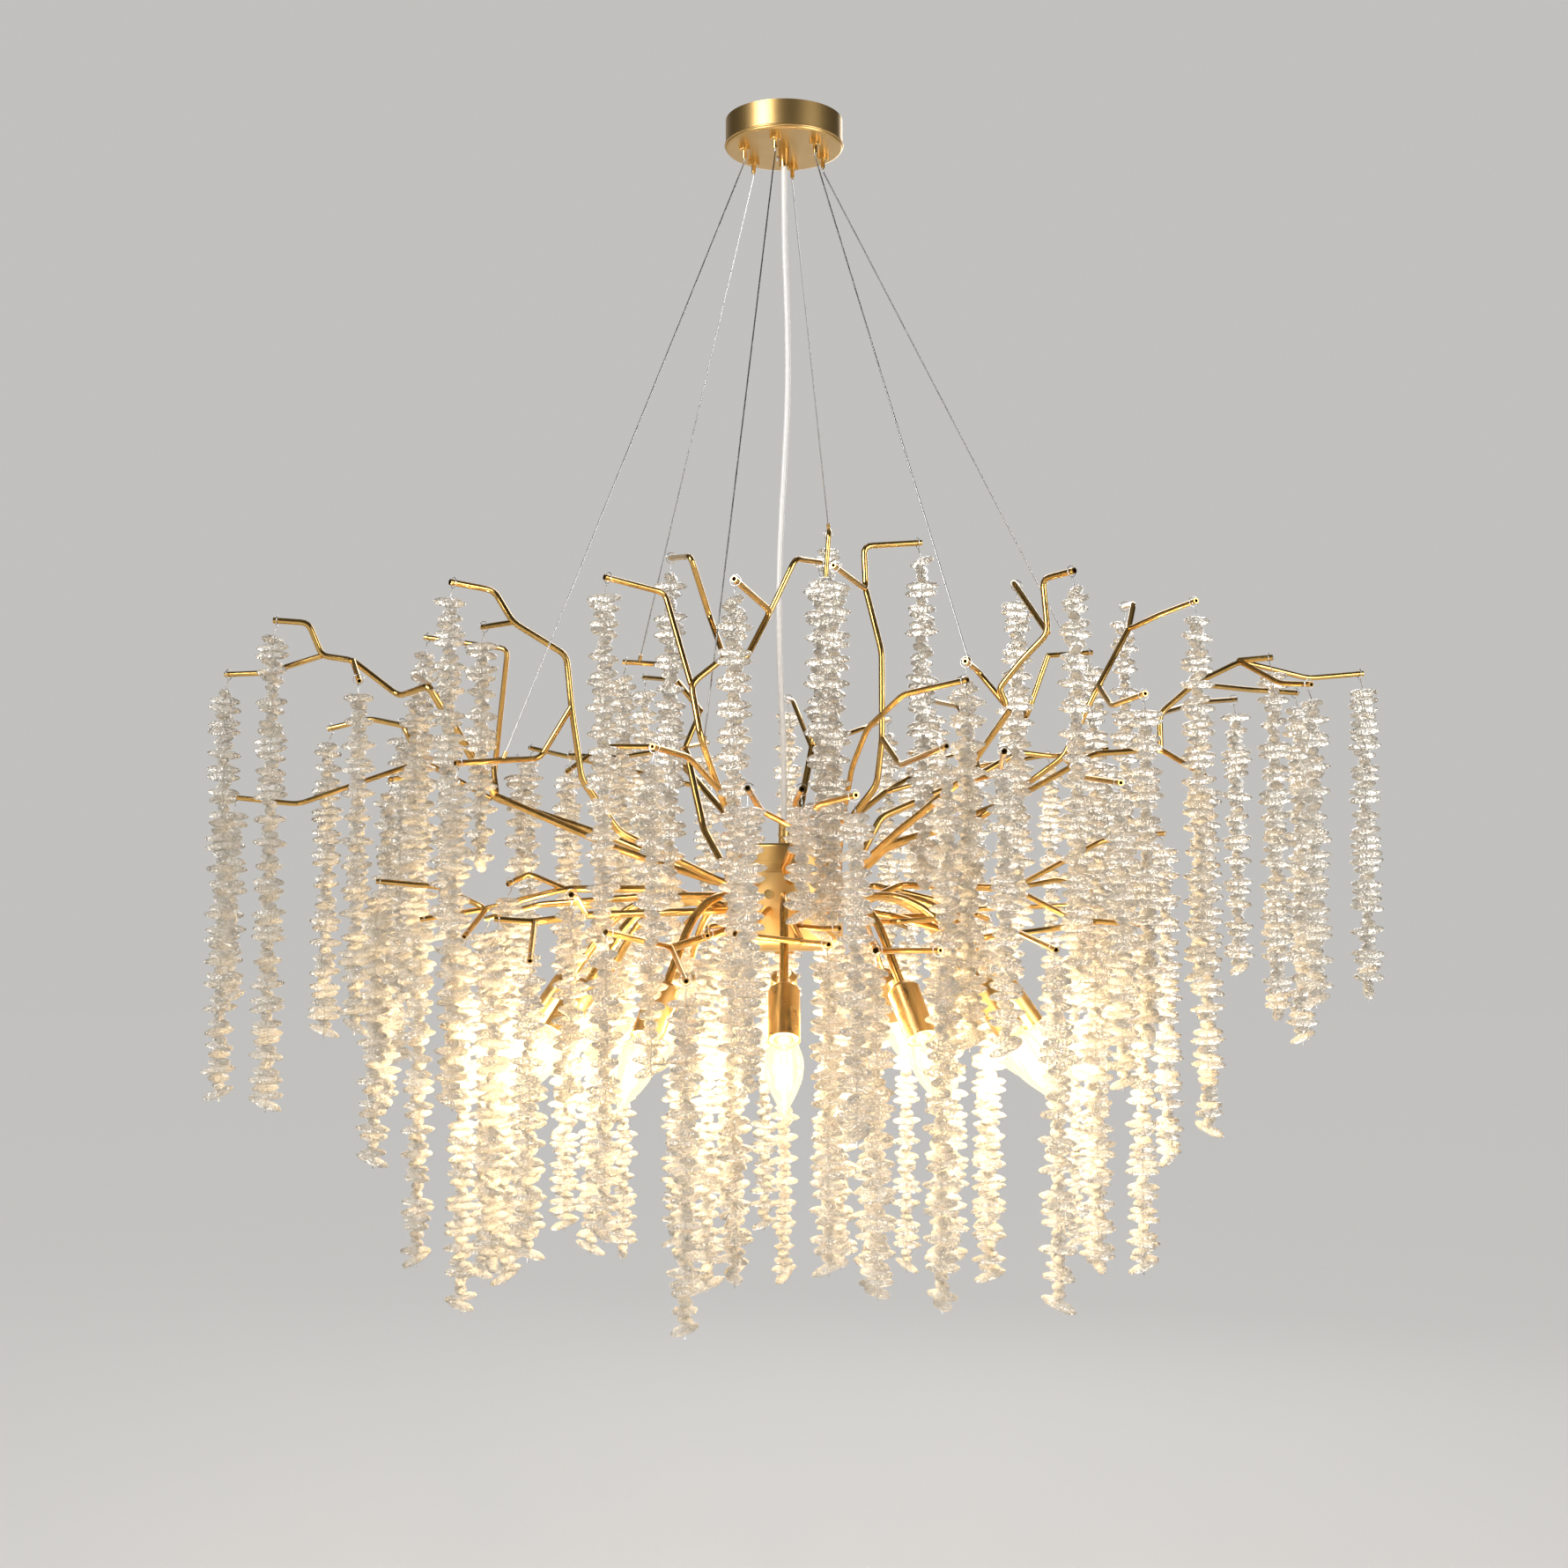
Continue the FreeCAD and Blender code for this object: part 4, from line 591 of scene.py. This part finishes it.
def bend_tubes(name, paths):
    """A mesh of all the tubes of one branch node."""
    curve = bpy.data.curves.new(name, "CURVE")
    curve.dimensions = "3D"
    curve.bevel_depth = 1.0
    curve.bevel_resolution = TUBE_ROUNDNESS
    for path, thickness in paths:
        points = soft_points(path, thickness)
        spline = curve.splines.new("NURBS")
        spline.points.add(len(points) - 1)
        for point, (place, radius) in zip(spline.points, points):
            point.co = (*place, 1.0)
            point.radius = radius
        spline.order_u = NURBS_ORDER
        spline.use_endpoint_u = True
        spline.resolution_u = TUBE_STEPS
    tube_object = bpy.data.objects.new(name, curve)
    bpy.context.scene.collection.objects.link(tube_object)
    select_only([tube_object])
    bpy.ops.object.convert(target="MESH")
    tube_object = bpy.context.object
    wall = tube_object.modifiers.new("wall", "SOLIDIFY")
    wall.thickness = TUBE_WALL
    wall.offset = -1.0
    bpy.ops.object.modifier_apply(modifier="wall")
    return tube_object


for name, (paths, _) in tubes.items():
    piece_name = name.replace("branches_", "branch_tubes_")
    piece = bend_tubes(piece_name, paths)
    finish_piece(piece, piece_name, branch_brass, "root", "brass", METAL_SMOOTH_DEG)
    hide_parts(name)
    print(piece_name, triangle_count(piece), "triangles")

# %% [markdown]
# ## One crystal
#
# Each crystal is a long faceted bead that narrows to its ends, with a hole through its waist. The
# wire fills the hole, so it isn't cut. A sphere with eight segments and six rings is a good start,
# because its faces are already flat facets. It is turned by half a facet, so that it lies on a
# flat one. Then its poles are turned to lie along X and the whole is scaled to the crystal's size,
# measured across the flats. The rings near the ends and those beside the waist are widened a
# little. Those beside the waist are also turned by half a facet, which breaks the long flat sides
# into triangles that catch the light one by one. The bead has few enough faces to be repeated
# thousands of times.

# %% Model the crystal
CRYSTAL_LENGTH = 34.0 * MM
CRYSTAL_WIDTH = 11.0 * MM
CRYSTAL_HEIGHT = 8.1 * MM
CRYSTAL_SEGMENTS = 8
CRYSTAL_RINGS = 6
HALF_FACET = math.pi / CRYSTAL_SEGMENTS
UNIT_RADIUS = 0.5
END_RINGS = (0.40, 0.49, 1.05)
SIDE_RINGS = (0.20, 0.30, 1.06)

start_clean()
bpy.ops.mesh.primitive_uv_sphere_add(
    segments=CRYSTAL_SEGMENTS, ring_count=CRYSTAL_RINGS, radius=UNIT_RADIUS
)
crystal = bpy.context.object
crystal.rotation_euler = (0.0, 0.0, HALF_FACET)
bpy.ops.object.transform_apply(location=False, rotation=True, scale=False)
crystal.rotation_euler = (0.0, math.pi / 2, 0.0)
across = math.cos(HALF_FACET)
crystal.scale = (CRYSTAL_HEIGHT / across, CRYSTAL_WIDTH / across, CRYSTAL_LENGTH)
bpy.ops.object.transform_apply(location=False, rotation=True, scale=True)
bpy.ops.object.mode_set(mode="EDIT")
for low, high, widen in (END_RINGS, SIDE_RINGS):
    select_vertices(crystal, lambda co: low < abs(co.x) / CRYSTAL_LENGTH < high)
    bpy.ops.transform.resize(value=(1.0, widen, widen), center_override=(0.0, 0.0, 0.0))
bpy.ops.transform.rotate(value=HALF_FACET, orient_axis="X", center_override=(0.0, 0.0, 0.0))
bpy.ops.object.mode_set(mode="OBJECT")
size_mm = [round(value / MM, 1) for value in crystal.dimensions]
print("crystal:", len(crystal.data.polygons), "faces,", size_mm, "mm")

# %% [markdown]
# ## Where the strands hang
#
# The CAD model has one notched column for each strand. Separating a copy of a strand node into
# loose parts gives the columns one by one. A column's widest rings are one row apart, so its
# highest ring, its lowest ring and half a row give the top and bottom of its crystals.

# %% Read the strands from the frame
WIDE_SHARE = 0.98
SAME_POINT = 0.01 * MM


def split_strands(node_name):
    """Copies of a strand node's columns, one object each."""
    source = nodes[node_name]
    copy = source.copy()
    copy.data = source.data.copy()
    copy.parent = None
    copy.matrix_world = Matrix.Identity(4)
    bpy.context.scene.collection.objects.link(copy)
    select_only([copy])
    bpy.ops.object.mode_set(mode="EDIT")
    bpy.ops.mesh.select_all(action="SELECT")
    bpy.ops.mesh.remove_doubles(threshold=SAME_POINT)
    bpy.ops.mesh.separate(type="LOOSE")
    bpy.ops.object.mode_set(mode="OBJECT")
    return list(bpy.context.selected_objects)


def measure_strand(obj):
    """A column's axis, and the top and bottom of its crystals."""
    points = np.array([vertex.co for vertex in obj.data.vertices])
    low, high = points.min(axis=0), points.max(axis=0)
    axis = (low[:2] + high[:2]) / 2
    reach = np.hypot(points[:, 0] - axis[0], points[:, 1] - axis[1])
    wide = np.unique(np.round(points[reach > WIDE_SHARE * reach.max(), 2], PLACE_DIGITS))[::-1]
    row = (wide[0] - wide[-1]) / (len(wide) - 1)
    return {"x": axis[0], "y": axis[1], "top": wide[0] + row / 2, "bottom": wide[-1] - row / 2}


strand_nodes = sorted(name for name in nodes if name.startswith("strands_"))
columns = {
    name: [(obj, measure_strand(obj)) for obj in split_strands(name)] for name in strand_nodes
}
print("strands:", sum(len(group) for group in columns.values()), "in", len(columns), "groups")

# %% [markdown]
# ## Threading the crystals
#
# On the wire each crystal lies across the one above it, but nothing holds it there: from one to
# the next the turn is anything from a slight twist to a right angle, each is tipped a little, and
# the lowest one often hangs askew. The copies are placed by code, each with its own turn, and
# joined into one mesh for each group of strands, because a group swings as one.

# %% Crystal strands
CRYSTAL_PITCH = 7.7 * MM
TURN_STEP_DEG = 60.0
TURN_SPREAD_DEG = 42.0
TILT_SPREAD_DEG = 7.0
LAST_TILT_DEG = 22.0
SHIFT_SPREAD = 0.5 * MM
LAST_LIFT = 8.6 * MM
DICE_SEED = 41

dice = random.Random(DICE_SEED)


def crystal_places(strand):
    """Where each crystal of a strand is and how it is turned, from the top down."""
    room = strand["top"] - strand["bottom"] - CRYSTAL_HEIGHT / 2 - LAST_LIFT
    count = max(2, round(room / CRYSTAL_PITCH) + 1)
    first_turn = dice.uniform(0, 180)
    for i in range(count):
        turn = first_turn + TURN_STEP_DEG * i + dice.uniform(-TURN_SPREAD_DEG, TURN_SPREAD_DEG)
        tilt = dice.uniform(-TILT_SPREAD_DEG, TILT_SPREAD_DEG)
        if i == count - 1:
            tilt = dice.choice((-1, 1)) * LAST_TILT_DEG
        middle = (
            strand["x"] + dice.uniform(-SHIFT_SPREAD, SHIFT_SPREAD),
            strand["y"] + dice.uniform(-SHIFT_SPREAD, SHIFT_SPREAD),
            strand["top"] - CRYSTAL_HEIGHT / 2 - room * i / (count - 1),
        )
        around = Matrix.Rotation(math.radians(turn), 4, "Z")
        tipped = Matrix.Rotation(math.radians(tilt), 4, "Y")
        yield Matrix.Translation(middle) @ (around @ tipped)


def thread_crystals(strands):
    """Copies of the crystal on a group of strands, joined into one object."""
    copies = []
    for strand in strands:
        for place in crystal_places(strand):
            copy = bpy.data.objects.new("crystal", crystal.data.copy())
            copy.data.transform(place)
            bpy.context.scene.collection.objects.link(copy)
            copies.append(copy)
    select_only(copies)
    bpy.ops.object.join()
    return bpy.context.object, len(copies)


crystal_total = 0
for node_name, group in columns.items():
    piece_name = node_name.replace("strands_", "crystals_")
    piece, count = thread_crystals([strand for _, strand in group])
    finish_piece(piece, piece_name, crystal_glass, node_name, "crystal")
    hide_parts(node_name)
    crystal_total += count
print("crystals:", crystal_total)

# %% [markdown]
# ## The wire that carries them
#
# A thin wire is bent to an eye round the twig's end and runs down through every crystal. The
# CAD solid already has the eye and its stem, so each column copy is cut just above its crystals,
# the lower part is cleared away, and the cut edge is extruded down to the last crystal.

# %% Strand wires
CUT_LIFT = 0.2 * MM
SAME_CUT = 0.01 * MM


def strand_wire(obj, strand):
    """Keep a column's eye and stem, and run the stem down through the crystals."""
    select_only([obj])
    bpy.ops.object.mode_set(mode="EDIT")
    bpy.ops.mesh.select_all(action="SELECT")
    cut = strand["top"] + CUT_LIFT
    bpy.ops.mesh.bisect(
        plane_co=(strand["x"], strand["y"], cut), plane_no=(0, 0, 1), clear_inner=True
    )
    select_vertices(obj, lambda co: abs(co.z - cut) < SAME_CUT)
    drop = strand["bottom"] + LAST_LIFT - CRYSTAL_HEIGHT - cut
    bpy.ops.mesh.extrude_region_move(TRANSFORM_OT_translate={"value": (0, 0, drop)})
    bpy.ops.mesh.edge_face_add()
    bpy.ops.object.mode_set(mode="OBJECT")


for node_name, group in columns.items():
    for obj, strand in group:
        strand_wire(obj, strand)
    select_only([obj for obj, _ in group])
    bpy.ops.object.join()
    wires = bpy.context.object
    wires_name = node_name.replace("strands_", "strand_wires_")
    finish_piece(wires, wires_name, eye_wire, node_name, "steel", METAL_SMOOTH_DEG)
    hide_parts(node_name)
print("strand wires:", len(columns))

# %% [markdown]
# ## The bulbs
#
# Each lamp is a clear candle bulb. Its glass is a body of revolution, so it is made the way it
# would be turned on a lathe: a circle is extruded along the axis, and each new ring is scaled to
# the outline's radius there. Solidify gives the glass its thin wall. Inside stand a glass stem
# and four glowing filaments, and a brass screw cap goes up into the lampholder.

# %% Turn a shape from its outline
SAME_HEIGHT = 0.001 * MM


def turned(name, outline, segments, center=(0.0, 0.0)):
    """A shape of revolution about Z, made by extruding a circle ring by ring."""
    start_clean()
    first_r, first_z = outline[0]
    x, y = center
    bpy.ops.mesh.primitive_circle_add(
        vertices=segments, radius=first_r, fill_type="NOTHING", location=(x, y, first_z)
    )
    obj = bpy.context.object
    bpy.ops.object.transform_apply(location=True, rotation=False, scale=False)
    bpy.ops.object.mode_set(mode="EDIT")
    bpy.ops.mesh.select_all(action="SELECT")
    for (last_r, last_z), (r, z) in zip(outline, outline[1:]):
        bpy.ops.mesh.extrude_region_move(TRANSFORM_OT_translate={"value": (0, 0, z - last_z)})
        bpy.ops.transform.resize(value=(r / last_r, r / last_r, 1.0), center_override=(x, y, z))
    bpy.ops.mesh.select_all(action="SELECT")
    bpy.ops.mesh.normals_make_consistent(inside=False)
    bpy.ops.object.mode_set(mode="OBJECT")
    obj.name = name
    return obj


def close_ends(obj, heights):
    """Fill the open rings at these heights."""
    select_only([obj])
    bpy.ops.object.mode_set(mode="EDIT")
    for height in heights:
        select_vertices(obj, lambda co: abs(co.z - height) < SAME_HEIGHT)
        bpy.ops.mesh.edge_face_add()
    bpy.ops.mesh.select_all(action="SELECT")
    bpy.ops.mesh.normals_make_consistent(inside=False)
    bpy.ops.object.mode_set(mode="OBJECT")


# %% [markdown]
# The bulb is modelled hanging straight down from the sleeve's top, in the same sizes as its CAD
# solid, and then each copy is turned onto its lamp's axis.

# %% Bulb glass
BULB_NECK_Z = -54.3 * MM
BULB_L = 75.5 * MM
GLASS_WALL = 0.7 * MM
BULB_SEGMENTS = 32
BULB_OUTLINE = [
    (0.0, 10.0), (0.05, 11.4), (0.12, 13.6), (0.20, 15.6), (0.28, 16.8), (0.36, 17.3), (0.44, 17.0),
    (0.52, 15.9), (0.60, 14.2), (0.68, 12.0), (0.76, 9.4), (0.84, 6.7), (0.91, 4.3), (0.96, 2.6),
    (0.99, 1.4), (1.0, 0.5),
]

glass_outline = [(r * MM, BULB_NECK_Z - share * BULB_L) for share, r in BULB_OUTLINE]
envelope = turned("bulb_envelope", glass_outline, BULB_SEGMENTS)
close_ends(envelope, [BULB_NECK_Z - BULB_L])
solidify = envelope.modifiers.new("wall", "SOLIDIFY")
solidify.thickness = GLASS_WALL
solidify.offset = -1.0
select_only([envelope])
bpy.ops.object.modifier_apply(modifier="wall")
print("bulb glass:", triangle_count(envelope), "triangles")

# %% [markdown]
# The screw cap is thin brass, pressed into a coarse round thread. Ridges all round stand in for
# the thread, because hardly any of it shows outside the lampholder.

# %% Screw cap
CAP_R = 6.6 * MM
CAP_L = 19.0 * MM
CAP_RIDGES = 6
CAP_RIM_R = 9.6 * MM
RIDGE_PITCH = 2.5 * MM

cap_outline = [(CAP_RIM_R, BULB_NECK_Z), (CAP_R * 1.02, BULB_NECK_Z + 1.0 * MM)]
for ridge in range(CAP_RIDGES):
    base = BULB_NECK_Z + 2.0 * MM + RIDGE_PITCH * ridge
    cap_outline += [(CAP_R * 0.92, base), (CAP_R, base + 0.8 * MM), (CAP_R, base + 1.4 * MM)]
cap_outline += [(CAP_R * 0.85, BULB_NECK_Z + CAP_L - 2 * MM), (CAP_R * 0.4, BULB_NECK_Z + CAP_L)]
cap = turned("bulb_cap", cap_outline, BULB_SEGMENTS)
close_ends(cap, [BULB_NECK_Z, BULB_NECK_Z + CAP_L])
print("screw cap:", triangle_count(cap), "triangles")

# %% [markdown]
# A lamp of this kind glows along a few straight rods, which stand in a ring round a glass stem
# with a wide foot. Each rod is turned like the glass, and narrows at its two ends.

# %% Filaments and stem
FILAMENT_COUNT = 4
FILAMENT_SEGMENTS = 10
FILAMENT_R = 1.5 * MM
FILAMENT_RING_R = 5.2 * MM
FILAMENT_TOP = BULB_NECK_Z - 16.0 * MM
FILAMENT_LOW = BULB_NECK_Z - 50.0 * MM
STEM_SEGMENTS = 16
STEM_TOP = BULB_NECK_Z - 0.5 * MM
STEM_LOW = FILAMENT_LOW - 2 * MM

rod_outline = [
    (FILAMENT_R * 0.5, FILAMENT_TOP), (FILAMENT_R, FILAMENT_TOP - 1 * MM),
    (FILAMENT_R, FILAMENT_LOW + 1 * MM), (FILAMENT_R * 0.5, FILAMENT_LOW),
]
filaments = []
for i in range(FILAMENT_COUNT):
    angle = 2 * math.pi * i / FILAMENT_COUNT
    middle = (FILAMENT_RING_R * math.cos(angle), FILAMENT_RING_R * math.sin(angle))
    rod = turned("filament", rod_outline, FILAMENT_SEGMENTS, middle)
    close_ends(rod, [FILAMENT_TOP, FILAMENT_LOW])
    filaments.append(rod)
select_only(filaments)
bpy.ops.object.join()
filament_set = bpy.context.object

stem_outline = [
    (6.5 * MM, STEM_TOP), (5.0 * MM, BULB_NECK_Z - 4 * MM), (2.4 * MM, BULB_NECK_Z - 9 * MM),
    (1.6 * MM, BULB_NECK_Z - 16 * MM), (1.4 * MM, FILAMENT_LOW + 4 * MM), (2.2 * MM, FILAMENT_LOW),
    (1.0 * MM, STEM_LOW),
]
stem = turned("bulb_stem", stem_outline, STEM_SEGMENTS)
close_ends(stem, [STEM_TOP, STEM_LOW])
print("filaments:", FILAMENT_COUNT, "and a stem of", triangle_count(stem), "triangles")

# %% [markdown]
# Twelve lamps stand every thirty degrees round the hub. Each copy has its own mesh, moved onto
# its axis: first the lean, then out to the lamp's place, then round the hub.

# %% Twelve bulbs
LAMP_COUNT = 12
LAMP_TILT_DEG = 35.0
LAMP_TOP = Vector((0.215, 0.0, -0.880))
GLASS_SMOOTH_DEG = 60


def lamp_matrix(number):
    """The place of a lamp's axis, from hanging straight down at the origin."""
    lean = Matrix.Rotation(math.radians(-LAMP_TILT_DEG), 4, "Y")
    around = Matrix.Rotation(2 * math.pi * number / LAMP_COUNT, 4, "Z")
    return around @ Matrix.Translation(LAMP_TOP) @ lean


def place_copy(source, name, number, material, slot, smooth_deg):
    """Put a copy of a bulb's piece on one lamp, where it rides on that bulb."""
    copy = bpy.data.objects.new(name, source.data.copy())
    copy.data.transform(lamp_matrix(number))
    bpy.context.scene.collection.objects.link(copy)
    node_name = "bulb_%02d" % (number + 1)
    finish_piece(copy, name, material, node_name, slot, smooth_deg)
    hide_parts(node_name)


BULB_PIECES = (
    (envelope, "glass", bulb_glass, "bulb_glass", GLASS_SMOOTH_DEG),
    (cap, "cap", bright_brass, "brass", METAL_SMOOTH_DEG),
    (stem, "stem", bulb_glass, "bulb_glass", GLASS_SMOOTH_DEG),
    (filament_set, "filaments", filament_glow, "bulb_glass", GLASS_SMOOTH_DEG),
)
for number in range(LAMP_COUNT):
    label = "%02d" % (number + 1)
    for source, kind, material, slot, smooth_deg in BULB_PIECES:
        place_copy(source, "bulb_%s_%s" % (kind, label), number, material, slot, smooth_deg)
for template in (crystal, envelope, cap, stem, filament_set):
    bpy.data.objects.remove(template)
print("bulbs:", LAMP_COUNT)

# %% [markdown]
# ## Finishes of the CAD parts
#
# Every part that stays from the CAD model gets its material here, by name.

# %% Materials on the CAD parts
FINISHES = {
    "lamp_arms": branch_brass,
    "lamp_sleeves": sleeve_brass,
    "canopy_cup": spun_brass,
    # The top cover's darker brass is painted shade.
    "hub_top_cover": cover_brass,
    "hub_ring": spun_brass,
    "hub_bowl": spun_brass,
    "hub_cable_nipple": bright_brass,
    "hub_screws": bright_brass,
    "hub_rod_nut": bright_brass,
    "gripper_collars": bright_brass,
    "gripper_nipples": bright_brass,
    "gripper_nuts": bright_brass,
    "wire_feet": bright_brass,
    "cord_grip": bright_brass,
    "cord_grip_nut": bright_brass,
    "cord_grip_screw": plated_steel,
    "canopy_set_screws": bright_brass,
    "ceiling_bracket": plated_steel,
    "hub_crossbar": plated_steel,
    "hub_rod": plated_steel,
    "wire_stops": plated_steel,
    "suspension_wires": wire_steel,
    "cable_tails": cable_sheath,
    "canopy_leads": core_plastic,
    "terminal_blocks": terminal_plastic,
    "lampholders": holder_plastic,
}
for name, finish in FINISHES.items():
    for slot in nodes[name].material_slots:
        slot.material = finish
print("finished CAD parts:", len(FINISHES))

# %% [markdown]
# ## Floor, backdrop and light
#
# The studio is plain: a pale floor below the light, a pale backdrop all round, and three soft
# area lamps. Where the floor is seen directly, in metal or through glass, part of its paint
# glows, so that it joins the backdrop and still keeps the chandelier's soft shadow.

# %% Floor
FLOOR_Z = -1.9
FLOOR_SIZE = 40.0
FLOOR_ROUGHNESS = 0.9
FLOOR_PAINT = (0.60, 0.59, 0.575)
FLOOR_GLOW_SHARE = 0.6
FLOOR_GLOW = 1.58
PALE = (0.54, 0.53, 0.515)


def seen_rays(tree):
    """A socket that is 1 for camera, glossy and transmission rays."""
    path = tree.nodes.new("ShaderNodeLightPath")
    first = add_node(tree, "ShaderNodeMath", operation="MAXIMUM")
    second = add_node(tree, "ShaderNodeMath", operation="MAXIMUM")
    tree.links.new(path.outputs["Is Camera Ray"], first.inputs[0])
    tree.links.new(path.outputs["Is Glossy Ray"], first.inputs[1])
    tree.links.new(first.outputs[0], second.inputs[0])
    tree.links.new(path.outputs["Is Transmission Ray"], second.inputs[1])
    return second.outputs[0]


start_clean()
bpy.ops.mesh.primitive_plane_add(size=FLOOR_SIZE, location=(0.0, 0.0, FLOOR_Z))
floor = bpy.context.object
floor.name = "floor"
floor_material, floor_shader = new_material("floor_paint")
floor_shader.inputs["Base Color"].default_value = (*FLOOR_PAINT, 1.0)
floor_shader.inputs["Roughness"].default_value = FLOOR_ROUGHNESS
floor_tree = floor_material.node_tree
floor_glow = add_node(floor_tree, "ShaderNodeEmission", Color=(*PALE, 1.0), Strength=FLOOR_GLOW)
floor_mix = floor_tree.nodes.new("ShaderNodeMixShader")
floor_share = add_node(floor_tree, "ShaderNodeMath", operation="MULTIPLY")
floor_share.inputs[1].default_value = FLOOR_GLOW_SHARE
floor_tree.links.new(seen_rays(floor_tree), floor_share.inputs[0])
floor_tree.links.new(floor_share.outputs[0], floor_mix.inputs["Fac"])
floor_tree.links.new(floor_shader.outputs["BSDF"], floor_mix.inputs[1])
floor_tree.links.new(floor_glow.outputs["Emission"], floor_mix.inputs[2])
floor_tree.links.new(floor_mix.outputs["Shader"], floor_tree.nodes["Material Output"].inputs["Surface"])
floor.data.materials.append(floor_material)
print("floor:", FLOOR_SIZE, "m wide, at", FLOOR_Z)

# %% [markdown]
# The backdrop is the world itself. Its ceiling, its two sides and the part behind the
# photograph's camera are darker, as black cards round a product are. Only metal and glass show
# them: they give the tubes a dark middle line between bright edges, and the crystals dark glints
# beside the bright ones.

# %% Backdrop
CEILING_SHARE = 0.25
CEILING_REACH = (0.15, 0.75)
FRONT_SHARE = 0.12
FRONT_REACH = (-0.15, -0.75)
SIDE_SHARE = 0.15
SIDE_REACH = (0.35, 0.75)

world = bpy.data.worlds.new("studio")
bpy.context.scene.world = world
world.use_nodes = True
world_tree = world.node_tree
background = world_tree.nodes["Background"]
background.inputs["Color"].default_value = (*PALE, 1.0)
direction = world_tree.nodes.new("ShaderNodeTexCoord")
direction_split = world_tree.nodes.new("ShaderNodeSeparateXYZ")
sideways = add_node(world_tree, "ShaderNodeMath", operation="ABSOLUTE")
world_tree.links.new(direction.outputs["Generated"], direction_split.inputs[0])
world_tree.links.new(direction_split.outputs["X"], sideways.inputs[0])


def fade(socket, reach, share):
    """Full light up to the start of a reach, fading softly to a share at its end."""
    ramp = add_node(world_tree, "ShaderNodeMapRange", interpolation_type="SMOOTHSTEP",
                    From_Min=reach[0], From_Max=reach[1], To_Min=1.0, To_Max=share)
    world_tree.links.new(socket, ramp.inputs["Value"])
    return ramp.outputs["Result"]


def combine(operation, first, second):
    """One maths node on two sockets."""
    node = add_node(world_tree, "ShaderNodeMath", operation=operation)
    world_tree.links.new(first, node.inputs[0])
    world_tree.links.new(second, node.inputs[1])
    return node.outputs[0]


ceiling = fade(direction_split.outputs["Z"], CEILING_REACH, CEILING_SHARE)
front = fade(direction_split.outputs["Y"], FRONT_REACH, FRONT_SHARE)
side = fade(sideways.outputs[0], SIDE_REACH, SIDE_SHARE)
camera_sees = world_tree.nodes.new("ShaderNodeLightPath")
shaded = combine("MULTIPLY", combine("MULTIPLY", ceiling, front), side)
level = combine("MAXIMUM", shaded, camera_sees.outputs["Is Camera Ray"])
world_tree.links.new(level, background.inputs["Strength"])
print("backdrop:", world.name)

# %% [markdown]
# Three soft lamps light the chandelier: the main one from the left and above, a weaker one from
# the right, and one from behind that gives the crystals bright edges.

# %% Soft lamps
def add_area_lamp(name, place, target, size, power):
    """A soft square lamp that points at a place."""
    data = bpy.data.lights.new(name, "AREA")
    data.size = size
    data.energy = power
    lamp = bpy.data.objects.new(name, data)
    lamp.location = place
    lamp.rotation_euler = (Vector(target) - Vector(place)).to_track_quat("-Z", "Y").to_euler()
    bpy.context.scene.collection.objects.link(lamp)


MIDDLE = (0.0, 0.0, -0.75)
AREA_LAMPS = {
    "key_lamp": {"place": (-2.2, -2.6, 0.6), "size": 1.6, "power": 100.0},
    "fill_lamp": {"place": (2.6, -2.0, -0.4), "size": 1.8, "power": 58.0},
    "back_lamp": {"place": (0.6, 2.8, 0.4), "size": 1.8, "power": 35.0},
}
for name, settings in AREA_LAMPS.items():
    add_area_lamp(name, target=MIDDLE, **settings)
bpy.context.scene.view_settings.view_transform = "Standard"
print("soft lamps:", len(AREA_LAMPS))

# %% [markdown]
# A glowing filament is too small a light to render well. So a small point lamp in each bulb
# lights the crystals round it. The camera doesn't see it, not even through the glass.

# %% Light of the bulbs
BULB_LIGHT_WATTS = 7.0
BULB_LIGHT_COLOR = (1.0, 0.74, 0.42)
BULB_LIGHT_R = 0.006
for number in range(LAMP_COUNT):
    light = bpy.data.lights.new("bulb_light_%02d" % (number + 1), "POINT")
    light.energy = BULB_LIGHT_WATTS
    light.color = BULB_LIGHT_COLOR
    light.shadow_soft_size = BULB_LIGHT_R
    lamp = bpy.data.objects.new(light.name, light)
    lamp.visible_camera = False
    lamp.visible_transmission = False
    lamp.location = lamp_matrix(number) @ Vector((0.0, 0.0, (FILAMENT_TOP + FILAMENT_LOW) / 2))
    bpy.context.scene.collection.objects.link(lamp)
print("bulb lights:", LAMP_COUNT)

# %% [markdown]
# ## The pieces made here
#
# The pieces made here are counted, with their triangles.

# %% Count the pieces made here
cad_solids = set(nodes.values())
made = [
    obj for obj in bpy.data.objects
    if obj.type == "MESH" and obj not in cad_solids and obj != floor
]
print("pieces made here:", len(made), "with", sum(triangle_count(obj) for obj in made), "triangles")
